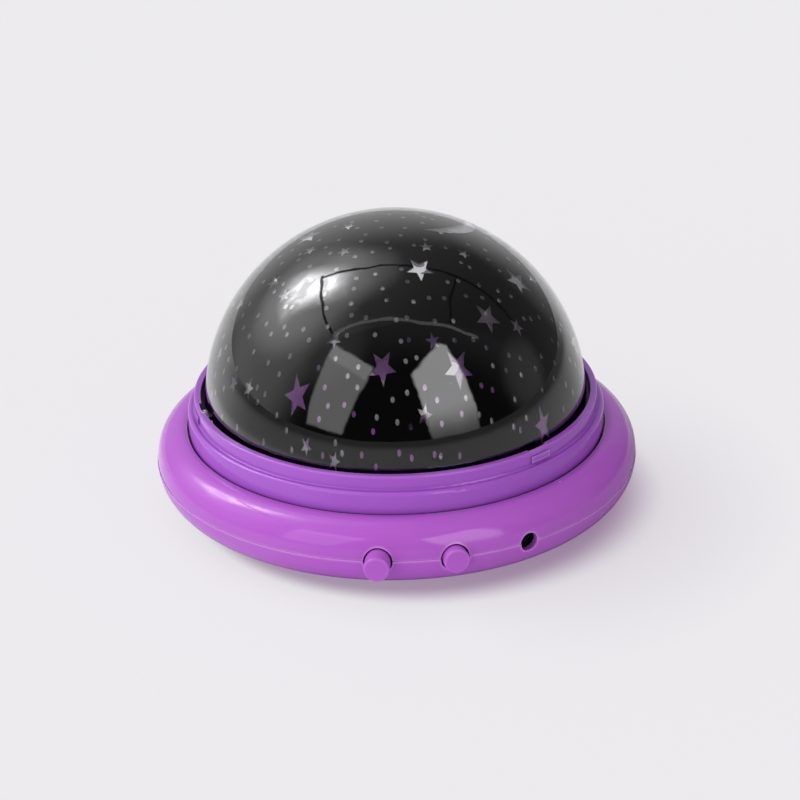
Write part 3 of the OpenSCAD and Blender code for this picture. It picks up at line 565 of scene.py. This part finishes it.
haze_and_painted_glints, tree, shader = new_material("clear_sheet", IOR=1.5, Roughness=0.12,
                                        Emission_Strength=1.0)
dots = use_group(tree, sheet_dots)
place = object_place(tree)
outward = unit(tree, vector_calc(tree, "SUBTRACT", place, (0, 0, dome_centre)).outputs[0])
facet = ramp_between(tree, noise_at(tree, place, FACETS, 0), 0.43, 0.46)
painted_crease_glint = calc(tree, "MULTIPLY", facet, near_one_of(tree, outward, PAINTED_GLINT_STARS, GLINT_REACH))
moved = put(tree, "ShaderNodeMapping", {"Vector": place, "Location": PATCHES_MOVED}).outputs[0]
patch = ramp_between(tree, noise_at(tree, moved, PATCHES, 0), 0.585, 0.6)
painted_patch_glint = calc(tree, "MULTIPLY", patch,
                rest_of(tree, near_one_of(tree, outward, CALM_STARS, CALM_REACH)))
# Painted glints: white on a few dots, on patches of the sheet and on facets of five stars.
painted_dot_glint = calc(tree, "MULTIPLY", ramp_between(tree, dots["Tint"], 0.86, 0.9), dots["Dots"])
painted_glint = combine(tree, "MAXIMUM", [painted_dot_glint, painted_patch_glint, painted_crease_glint])
print(len(tree.nodes), "nodes find the glints")

# %% Haze and painted glints
HAZE_FROM, HAZE_TO = dome_centre + 12 * MM, dome_centre + 45 * MM
TOP_FROM, TOP_TO = dome_centre + 45 * MM, dome_centre + 51 * MM

level = part_of(tree, place, "Z")
haze_up = ramp_between(tree, level, HAZE_FROM, HAZE_TO, 0.2, 0.62)
clouds = ramp_between(tree, noise_at(tree, place, MILKY_PLACES, 2), 0.3, 0.7, 0.0, 0.12)
milky = calc(tree, "ADD", haze_up, clouds)
# Painted highlight: the sheet's grey is lighter near the top.
painted_top_highlight = ramp_between(tree, level, TOP_FROM, TOP_TO)
sheet_tone = mix_colour(tree, painted_top_highlight, paint(138, 134, 140), paint(205, 202, 206))
crinkle = calc(tree, "MULTIPLY_ADD", dots["Rim"], 2.5, noise_at(tree, place, SOFT_CRINKLES, 1))
# White where the painted glints lie, with a faint painted glow on the facets of five stars.
wire(tree, shader, Base_Color=mix_colour(tree, painted_glint, sheet_tone, paint(252, 250, 252)),
     Emission_Color=mix_colour(tree, painted_crease_glint, (0, 0, 0, 1), (0.4, 0.39, 0.4, 1)),
     Alpha=calc(tree, "MULTIPLY_ADD", painted_glint, 0.6, milky, clamp=True),
     Normal=bump(tree, crinkle, 0.4, 0.3 * MM))
carrier.data.materials.append(haze_and_painted_glints)
print("hazy clear sheet")

# %% [markdown]
# ## The moulding flash on the joint line
# Where the two halves of the base meet, the mould leaves a hair of flash, with nicks where it
# was trimmed. It is a thin rod that runs along the joint and stops at each opening. Its colour
# is paler than the purple: a painted highlight along the joint line.

# %% Flash
FLASH_RADIUS = 0.1 * MM
FLASH_IN = 0.03 * MM
DEGREES_TO_A_STEP = 0.7
SHORT_NICKS, LONG_NICKS = 900, 260  # to a metre
OPENINGS = [(-20.8, -14.0), (-3.4, 3.4), (16.0, 20.4)]  # two buttons and the inlet, in degrees


def flash_rod(name, radius, height, thickness, first, last):
    """A hair-thin rod along the joint line between two directions, in degrees from -Y to +X."""
    mesh = bmesh.new()
    centre = (0, 0, 0)
    bmesh.ops.create_circle(mesh, cap_ends=True, segments=6, radius=thickness)
    bmesh.ops.rotate(mesh, verts=mesh.verts, cent=centre,
                     matrix=Matrix.Rotation(math.pi / 2, 3, "X"))
    bmesh.ops.translate(mesh, verts=mesh.verts, vec=(radius, 0, height))
    bmesh.ops.rotate(mesh, verts=mesh.verts, cent=centre,
                     matrix=Matrix.Rotation(math.radians(first - 90), 3, "Z"))
    bmesh.ops.spin(mesh, geom=mesh.faces[:], cent=centre, axis=(0, 0, 1),
                   angle=math.radians(last - first),
                   steps=max(4, round((last - first) / DEGREES_TO_A_STEP)))
    for vert in mesh.verts:
        nick = noise.noise(vert.co * SHORT_NICKS) * 0.5 + noise.noise(vert.co * LONG_NICKS) * 0.5
        outward = Vector((vert.co.x, vert.co.y, 0)).normalized()
        vert.co += outward * (nick - 0.25) * thickness
    bmesh.ops.recalc_face_normals(mesh, faces=mesh.faces)
    return to_object(mesh, name)


pale, tree, shader = new_material("purple_flash", IOR=1.49)
# The paler colour is a painted highlight along the joint line.
surface = use_group(tree, moulded, Colour=paint(206, 150, 222), Roughness=0.35, Streaks=0.9,
                    Dust=0.8, Grain=0.4)
wire(tree, shader, Base_Color=surface["Colour"], Roughness=surface["Roughness"],
     Normal=bump(tree, surface["Height"], 0.5, 0.3 * MM))
once_round = OPENINGS[1:] + [(OPENINGS[0][0] + 360, 0)]
for number, (opening, following) in enumerate(zip(OPENINGS, once_round)):
    rod = flash_rod(f"joint_flash_{number + 1}", base_radius - FLASH_IN, joint_height,
                    FLASH_RADIUS, opening[1], following[0])
    rod.data.materials.append(pale)
    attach(rod, "base")

# %% [markdown]
# ## The other plastics, rubber and wires
# Inside there is cream nylon for the gears and plungers, black plastic for the switches and
# clips, and rubber under the feet. They use the same moulding group with other amounts.

# %% Other plastics
def plastic(name, colour, roughness, streaks, grain, depth=0.3 * MM, **fixed):
    material, tree, shader = new_material(name, **fixed)
    surface = use_group(tree, moulded, Colour=colour, Roughness=roughness, Streaks=streaks,
                        Dust=0.15, Grain=grain)
    wire(tree, shader, Base_Color=surface["Colour"], Roughness=surface["Roughness"],
         Normal=bump(tree, surface["Height"], 0.3, depth))
    return material


cream = plastic("cream_nylon", paint(233, 228, 212), 0.42, 0.15, 0.3, IOR=1.53)
black = plastic("black_plastic", paint(30, 30, 33), 0.38, 0.3, 0.5, IOR=1.5)
rubber = plastic("rubber", paint(38, 37, 38), 0.75, 0.3, 1.0, 0.6 * MM, IOR=1.5)
wires_in = {"led_wires": paint(190, 32, 28), "motor_wires": paint(226, 190, 40),
            "battery_wires": paint(28, 28, 30)}
for name in ("light_plunger", "rotation_plunger", "drive_pinion", "idler_gear"):
    finish_node(name, cream)
for name in ("light_switch", "rotation_switch", "dc_jack", "turntable_clips"):
    finish_node(name, black)
finish_node("rubber_feet", rubber)
for name, colour in wires_in.items():
    finish_node(name, plastic(name + "_sleeve", colour, 0.4, 0.2, 0.2, IOR=1.5))
print("cream, black, rubber and three wires")

# %% [markdown]
# ## Metal
# Screws, springs, shafts and the motor's can are zinc or nickel plated steel. Drawing and turning
# leave fine lines, and handling leaves duller patches. The lines run round the upright axis on
# the turned parts, so one group stretches its noise along Z or across it.

# %% Group: worked metal
TOOL_LINES, HANDLED_PLACES = 900, 120  # to a metre
TARNISH = (0.32, 0.29, 0.26, 1)

worked, given, out = new_group(
    "worked_metal",
    [("Stretch", VECTOR, (1, 1, 1)), ("Roughness", NUMBER, 0.3), ("Tarnish", NUMBER, 0.3),
     ("Colour", COLOUR, (0.6, 0.6, 0.6, 1))],
    [("Colour", COLOUR), ("Roughness", NUMBER), ("Height", NUMBER)])
place = object_place(worked)
stretched = vector_calc(worked, "MULTIPLY", place, given["Stretch"]).outputs[0]
lines = noise_at(worked, stretched, TOOL_LINES, 2)
handled = ramp_between(worked, noise_at(worked, place, HANDLED_PLACES, 3), 0.45, 0.75)
dull = calc(worked, "MULTIPLY", handled, given["Tarnish"])
worked.links.new(mix_colour(worked, dull, given["Colour"], TARNISH), out["Colour"])
line_shine = calc(worked, "MULTIPLY_ADD", calc(worked, "SUBTRACT", lines, 0.5), 0.2,
                  given["Roughness"])
worked.links.new(calc(worked, "MULTIPLY_ADD", dull, 0.3, line_shine, clamp=True), out["Roughness"])
worked.links.new(lines, out["Height"])
print("group", worked.name)


# %% Metals
def metal(name, colour, roughness, tarnish, stretch):
    material, tree, shader = new_material(name, Metallic=1.0)
    surface = use_group(tree, worked, Colour=colour, Roughness=roughness, Tarnish=tarnish,
                        Stretch=stretch)
    wire(tree, shader, Base_Color=surface["Colour"], Roughness=surface["Roughness"],
         Normal=bump(tree, surface["Height"], 0.15, 0.1 * MM))
    return material


zinc = metal("zinc_screws", paint(196, 196, 198), 0.28, 0.4, (1, 1, 1))
nickel = metal("nickel_plate", paint(206, 202, 194), 0.2, 0.25, (1, 1, 0.2))
can_steel = metal("motor_steel", paint(188, 188, 192), 0.33, 0.3, (0.15, 0.15, 3))
ground = metal("ground_shaft", paint(200, 200, 204), 0.15, 0.15, (1, 1, 4))
for name in ("pcb_screws", "led_board_screws", "motor_screws", "clip_screws", "door_screws",
             "housing_screws"):
    finish_node(name, zinc)
for name in ("contact_plates", "contact_springs", "jack_pin"):
    finish_node(name, nickel)
for name in ("motor_can", "motor_plate"):
    finish_node(name, can_steel)
for name in ("motor_shaft", "idler_axle"):
    finish_node(name, ground)
print("four metals on 13 solids")

# %% [markdown]
# ## Boards, lamps and cells
# The control board is green lacquer over copper: the tracks show as lighter lines under it. The
# lamp board is white lacquer. The lamps are tinted epoxy, cloudy enough to spread the light. The
# cells wear a printed sleeve with a band at the button end, and say nothing.

# %% Boards
TRACK_WIDTH, PAD_SIZE = 0.16, 0.13  # in cells of the pattern
DULL_PLACES = 300  # to a metre


def board(name, lacquer, track, pitch):
    material, tree, shader = new_material(name, IOR=1.55)
    place = object_place(tree)
    wires = {"Vector": place, "Scale": pitch, "Randomness": 0.25}
    nearest, second = [put(tree, "ShaderNodeTexVoronoi", wires, distance="MANHATTAN",
                           feature=feature).outputs["Distance"] for feature in ("F1", "F2")]
    on_track = calc(tree, "LESS_THAN", calc(tree, "SUBTRACT", second, nearest), TRACK_WIDTH)
    pad = calc(tree, "LESS_THAN", nearest, PAD_SIZE)
    colour = mix_colour(tree, on_track, lacquer, track)
    wire(tree, shader, Base_Color=mix_colour(tree, pad, colour, paint(206, 184, 120)),
         Metallic=calc(tree, "MULTIPLY", pad, 0.9),
         Roughness=ramp_between(tree, noise_at(tree, place, DULL_PLACES), 0.3, 0.7, 0.22, 0.36),
         Normal=bump(tree, on_track, 0.2, 0.1 * MM))
    return material


finish_node("main_pcb", board("green_board", paint(24, 92, 50), paint(46, 128, 70), 320))
finish_node("led_board", board("white_board", paint(228, 228, 222), paint(212, 214, 206), 360))
components = plastic("components", paint(34, 33, 36), 0.5, 0.3, 0.6, IOR=1.5)
finish_node("pcb_components", components)
print("two boards and the components")


# %% Lamps
MILKY_SPOTS = 500  # to a metre


def lamp(name, colour):
    material, tree, shader = new_material(name, IOR=1.54, Transmission_Weight=0.55)
    cloudy = noise_at(tree, object_place(tree), MILKY_SPOTS, 2)
    paler = ramp_between(tree, cloudy, 0.3, 0.7, 0.0, 0.25)
    wire(tree, shader, Base_Color=mix_colour(tree, paler, colour, (1, 1, 1, 1)),
         Roughness=ramp_between(tree, cloudy, 0.2, 0.8, 0.08, 0.22),
         Normal=bump(tree, cloudy, 0.05, 0.2 * MM))
    return material


lamps = {"led_white": paint(246, 242, 226), "led_red": paint(222, 52, 44),
         "led_green": paint(52, 186, 84), "led_blue": paint(52, 96, 220)}
for name, colour in lamps.items():
    finish_node(name, lamp(name + "_epoxy", colour))
print(len(lamps), "lamps")


# %% Cells
BAND_FROM, SLEEVE_END, SLEEVE_FOOT = 13 * MM, 26.6 * MM, -21.4 * MM  # along X
WORN_PLACES = 150  # to a metre


def cell_sleeve(name, end):
    """Dark sleeve, with a copper band towards the button end, which is +X for 1 and -X for -1."""
    material, tree, shader = new_material(name)
    place = object_place(tree)
    along = calc(tree, "MULTIPLY", part_of(tree, place, "X"), end)
    band = calc(tree, "GREATER_THAN", along, BAND_FROM)
    bare = calc(tree, "MAXIMUM", calc(tree, "GREATER_THAN", along, SLEEVE_END),
                calc(tree, "LESS_THAN", along, SLEEVE_FOOT))
    worn = noise_at(tree, place, WORN_PLACES, 3)
    dark = mix_colour(tree, worn, paint(30, 30, 34), paint(44, 43, 48))
    printed = mix_colour(tree, band, dark, paint(188, 120, 62))
    wire(tree, shader, Base_Color=mix_colour(tree, bare, printed, paint(205, 205, 206)),
         Metallic=calc(tree, "MAXIMUM", calc(tree, "MULTIPLY", band, 0.7), bare),
         Roughness=ramp_between(tree, worn, 0.3, 0.7, 0.22, 0.34))
    return material


facing_right = cell_sleeve("cell_sleeve_right", 1.0)
facing_left = cell_sleeve("cell_sleeve_left", -1.0)
for name, sleeve in (("battery_1", facing_right), ("battery_2", facing_left),
                     ("battery_3", facing_right)):
    finish_node(name, sleeve)
print("three cells")

# %% [markdown]
# ## Floor
# A seamless pale paper. It is one large disc, so that its edge stays out of every view. The shiny
# pieces mirror it, and there it has its own tone: the key light falls on the paper behind the
# object and close to its left side, and the paper towards the front lies in shade, more so
# further off.

# %% Floor
FLOOR_RADIUS = 6
FIBRES = 700  # to a metre

mesh = bmesh.new()
bmesh.ops.create_circle(mesh, cap_ends=True, segments=96, radius=FLOOR_RADIUS)
floor = to_object(mesh, "floor", smooth=False)
paper, tree, shader = new_material("floor_paper", Roughness=0.9, Specular_IOR_Level=0.1)
place = object_place(tree)
away = unit(tree, place)
from_axis = length(tree, place)
path = put(tree, "ShaderNodeLightPath").outputs
fibre = ramp_between(tree, noise_at(tree, place, FIBRES, 2), 0.3, 0.7)
pale_paper = mix_colour(tree, fibre, (0.81, 0.795, 0.816, 1), (0.83, 0.815, 0.836, 1))
in_front = dot(tree, away, (0, -1, 0))
far_off = calc(tree, "MULTIPLY", ramp_between(tree, from_axis, 0.3, 0.8, 0.0, 0.65),
               ramp_between(tree, in_front, -0.75, -0.4))
near_left = calc(tree, "MULTIPLY", ramp_between(tree, from_axis, 0.19, 0.14, 0.0, 0.45),
                 ramp_between(tree, dot(tree, away, (-1, 0, 0)), 0.5, 0.9))
mirrored_tone = calc(tree, "MULTIPLY_ADD", ramp_between(tree, in_front, -0.75, -0.1, 0.76, 0.42),
                     rest_of(tree, far_off), near_left)
wire(tree, shader,
     Base_Color=mix_colour(tree, path["Is Glossy Ray"], pale_paper, mirrored_tone))
print("paper with", len(tree.nodes), "nodes")

# %% [markdown]
# ## Shade on the floor
# The camera sees most of the paper at one even brightness, with a share of the real shadow.
# Painted shade, tinted purple, lies in a narrow band where the base nearly touches the paper,
# and a wider, weaker painted shade lies on the side away from the key light. Both belong to
# the paper's upper side only.

# %% Shade on the floor
EVEN_SHARE = 0.8
PAPER_GLOW, SHADE_TINT = (0.866, 0.855, 0.876, 1), (0.37, 0.25, 0.39, 1)
AWAY_FROM_KEY = (0.866, -0.5, 0)
WIDE_FROM, WIDE_TO = 75 * MM, 120 * MM

to_right = part_of(tree, away, "X")
edge_out = calc(tree, "MULTIPLY_ADD", to_right, 9 * MM, 71 * MM)
edge_width = calc(tree, "MULTIPLY_ADD", to_right, 6 * MM, 12 * MM)
edge_in = calc(tree, "SUBTRACT", edge_out, edge_width)
contact = calc(tree, "MULTIPLY", ramp_between(tree, from_axis, edge_in, edge_out, 1.0, 0.0),
               calc(tree, "MULTIPLY_ADD", to_right, 0.1, 0.9))
fading = ramp_between(tree, from_axis, WIDE_FROM, WIDE_TO, 0.2, 0.0, smooth=False)
wide_shade = calc(tree, "MULTIPLY", fading,
                  ramp_between(tree, dot(tree, away, AWAY_FROM_KEY), 0.5, 1.0, smooth=False))
lit_share = calc(tree, "MULTIPLY", rest_of(tree, contact), rest_of(tree, wide_shade))
from_above = rest_of(tree, put(tree, "ShaderNodeNewGeometry").outputs["Backfacing"])
shade = calc(tree, "MULTIPLY", rest_of(tree, lit_share), from_above)
glow = put(tree, "ShaderNodeEmission", {"Color": mix_colour(tree, shade, PAPER_GLOW, SHADE_TINT),
                                        "Strength": 1.0}).outputs[0]
share = calc(tree, "MULTIPLY", path["Is Camera Ray"], EVEN_SHARE)
seen_floor = put(tree, "ShaderNodeMixShader", {0: share, 1: shader.outputs[0], 2: glow}).outputs[0]
tree.links.new(seen_floor, tree.nodes["Material Output"].inputs["Surface"])
floor.data.materials.append(paper)
print("floor with its shade")

# %% [markdown]
# ## Studio light
# Light decides how glossy pieces look, because they mirror it. All lamps are painted on the
# inside of the world's sphere, each in its own direction. The object stands in a small tent of
# thin cloth, so the sphere's directions are first bent a little by a noise, as cloth bends.

# %% World
BENT_BY = 0.06

world = bpy.data.worlds.new("studio")
bpy.context.scene.world = world
world.use_nodes = True
studio = world.node_tree
studio.nodes.clear()
straight = unit(studio, put(studio, "ShaderNodeTexCoord").outputs["Generated"])
cloth = put(studio, "ShaderNodeTexNoise",
            {"Vector": straight, "Scale": 7, "Detail": 5, "Roughness": 0.6}).outputs
off = vector_calc(studio, "SUBTRACT", cloth["Color"], (0.5, 0.5, 0.5)).outputs[0]
bent = vector_calc(studio, "MULTIPLY", off, (BENT_BY, BENT_BY, BENT_BY)).outputs[0]
looking = unit(studio, vector_calc(studio, "ADD", straight, bent).outputs[0])
print("an empty studio")


# %% Lamp shapes
def round_lamp(turn, rise, core, edge, strength):
    """A round patch of light: full up to core degrees from its middle, nothing past edge."""
    near = dot(studio, looking, direction(turn, rise))
    return ramp_between(studio, near, math.cos(math.radians(edge)), math.cos(math.radians(core)),
                        0.0, strength)


def flat_lamp(corners, strength, soft=0.02):
    """A board of light between corners, each a direction, given in order round the board."""
    rays = [direction(*corner) for corner in corners]
    middle = sum(rays, Vector())
    shares = []
    for one, two in zip(rays, rays[1:] + rays[:1]):
        side = one.cross(two).normalized()
        if side.dot(middle) < 0:
            side.negate()
        shares.append(ramp_between(studio, dot(studio, looking, side), -soft, soft))
    return calc(studio, "MULTIPLY", combine(studio, "MULTIPLY", shares), strength)


def seam_line(places, width, soft=0.006):
    """A thin line from one direction to the next, such as a cord of the tent."""
    parts = []
    for one, two in zip(places, places[1:]):
        ends = direction(*one), direction(*two)
        past = dot(studio, looking, ends[0].cross(ends[1]).normalized())
        near = ramp_between(studio, calc(studio, "ABSOLUTE", past), width, width + soft, 1.0, 0.0)
        middle = (ends[0] + ends[1]).normalized()
        close = calc(studio, "GREATER_THAN", dot(studio, looking, middle),
                     middle.dot(ends[0]) - 0.001)
        parts.append(calc(studio, "MULTIPLY", near, close))
    return combine(studio, "MAXIMUM", parts)


print("three shapes of lamp")

# %% [markdown]
# ## The lamps
# A big soft key stands behind on the left. Two boards in front show on the dome as pale shapes,
# and the right one is brighter higher up. Weak glows on all sides give the dome's flanks their
# grey. Behind and above, the cloth itself shines a little, more so near the key. It fades
# towards the front, where the tent is open and dark for the camera.

# %% Lamps of the studio
folds = ramp_between(studio, cloth["Fac"], 0.35, 0.65, 0.6, 1.25)
key = flat_lamp([(-149, 61), (-118, 63), (-121, 34), (-145, 32)], folds, soft=0.12)
key_core = flat_lamp([(-147, 58), (-126, 58), (-124, 39), (-144, 36)], folds, soft=0.05)
key_glow = round_lamp(-128, 46, 6, 36, 0.9)
front_left = flat_lamp([(-68, 48), (-29, 42), (-44, 2), (-66, 3)], 1.0)
front_left_top = flat_lamp([(-68, 48), (-29, 42), (-33, 34), (-68, 40)], 0.45)
upwards = ramp_between(studio, part_of(studio, looking, "Z"), -0.02, 0.34, 0.5, 2.4)
front_right = flat_lamp([(30, 52), (34, 49), (37, -1), (8, -1), (-1, 38)], upwards)
glows = [round_lamp(*glow) for glow in (
    (-150, 64, 4, 25, 0.5),    # over the key
    (-112, 16, 12, 40, 0.4),   # left
    (-74, 45, 4, 28, 0.13),    # high on the left
    (176, 6, 4, 50, 0.37),     # behind
    (76, 11, 6, 20, 0.13),     # right
    (138, 12, 4, 24, 0.12))]   # behind on the right
studio_lamps = [calc(studio, "MULTIPLY", key, 5.0), calc(studio, "MULTIPLY", key_core, 2.5),
                key_glow, front_left, front_left_top, front_right] + glows
print(len(studio_lamps), "lamps of the studio")

# %% Lit cloth
forwards = dot(studio, looking, direction(-4, -22))
behind = ramp_between(studio, forwards, -0.01, -0.05)
towards_key = calc(studio, "MAXIMUM", dot(studio, looking, direction(-130, 55)), 0.0)
glow_near_key = calc(studio, "POWER", towards_key, 3.0)
lit_cloth = calc(studio, "MULTIPLY", behind,
                 calc(studio, "MULTIPLY_ADD", glow_near_key, 0.19, 0.06))
fading_cloth = calc(studio, "MULTIPLY", rest_of(studio, behind),
                    ramp_between(studio, forwards, 0.5, -0.02, 0.0, 0.08))
print("cloth behind and above")

# %% [markdown]
# ## Cords and hoop
# The tent hangs on dark cords, and a pale hoop spans it. Both are thin, and the dome mirrors them
# as fine lines. They show that its skin is smooth and clear.

# %% Cords and hoop
cords = combine(studio, "MAXIMUM", [
    seam_line([(-143, 49), (-116, 54), (-92, 53), (-73, 50)], 0.008),
    seam_line([(-141, 50), (-164, 66), (133, 65), (106, 46), (93, 26)], 0.01),
    seam_line([(111, 56), (81, 62), (53, 56)], 0.006)])
uncovered = calc(studio, "MULTIPLY_ADD", cords, -0.9, 1.0)
hoop = seam_line([(-75, 52), (-57, 67), (-20, 73), (25, 67), (62, 41)], 0.012, 0.01)
print("cords and hoop")

# %% [markdown]
# ## What each kind of ray finds
# A mirrored ray finds the sharp lamps. A ray of soft light finds a smooth fill that is stronger
# from the left, with the key and the left board in it, so that matt colours are lit evenly. The
# camera itself finds only the plain pale background.

# %% Light by kind of ray
DARK_CORNERS = 0.02
LAMP_WHITE, BACKGROUND = (1.0, 0.985, 1.005, 1), (0.855, 0.84, 0.863, 1)

lit_parts = combine(studio, "ADD", studio_lamps + [lit_cloth, fading_cloth,
                                                   calc(studio, "MULTIPLY", hoop, 0.45)])
mirrored = calc(studio, "MULTIPLY_ADD", lit_parts, uncovered, DARK_CORNERS)
soft_fill = calc(studio, "MULTIPLY_ADD", dot(studio, straight, direction(-72, 32)), 0.84, 0.5)
spread = combine(studio, "ADD", [
    calc(studio, "MULTIPLY", key, 1.3), calc(studio, "MULTIPLY", key_glow, 0.35),
    calc(studio, "MULTIPLY", front_left, 0.8), soft_fill])
path = put(studio, "ShaderNodeLightPath").outputs
strength = put(studio, "ShaderNodeMix",
               {0: path["Is Glossy Ray"], 2: spread, 3: mirrored}).outputs[0]
lit = put(studio, "ShaderNodeBackground", {"Color": LAMP_WHITE, "Strength": strength}).outputs[0]
plain = put(studio, "ShaderNodeBackground", {"Color": BACKGROUND, "Strength": 1.0}).outputs[0]
choose = put(studio, "ShaderNodeMixShader", {0: path["Is Camera Ray"], 1: lit, 2: plain}).outputs[0]
put(studio, "ShaderNodeOutputWorld", {"Surface": choose})
print(len(studio.nodes), "nodes in the world")

# %% [markdown]
# ## Daylight inside the dome
# Through the clear stars one sees the deck and the back of the print, lit by what comes in. A
# small soft lamp, which nothing sees, stands for that light.

# %% Lamp inside
GLOW_WATTS, GLOW_SIZE, GLOW_HEIGHT = 0.018, 12 * MM, 18 * MM

inner = bpy.data.lights.new("inner_glow", "POINT")
inner.energy = GLOW_WATTS
inner.shadow_soft_size = GLOW_SIZE
inner_lamp = bpy.data.objects.new("inner_glow", inner)
inner_lamp.location = (0, 0, dome_centre + GLOW_HEIGHT)
inner_lamp.visible_camera = False
inner_lamp.visible_glossy = False
inner_lamp.visible_transmission = False
bpy.context.scene.collection.objects.link(inner_lamp)
print("inner glow at", tuple(inner_lamp.location))

# %% Colour management
bpy.context.scene.view_settings.view_transform = "Standard"
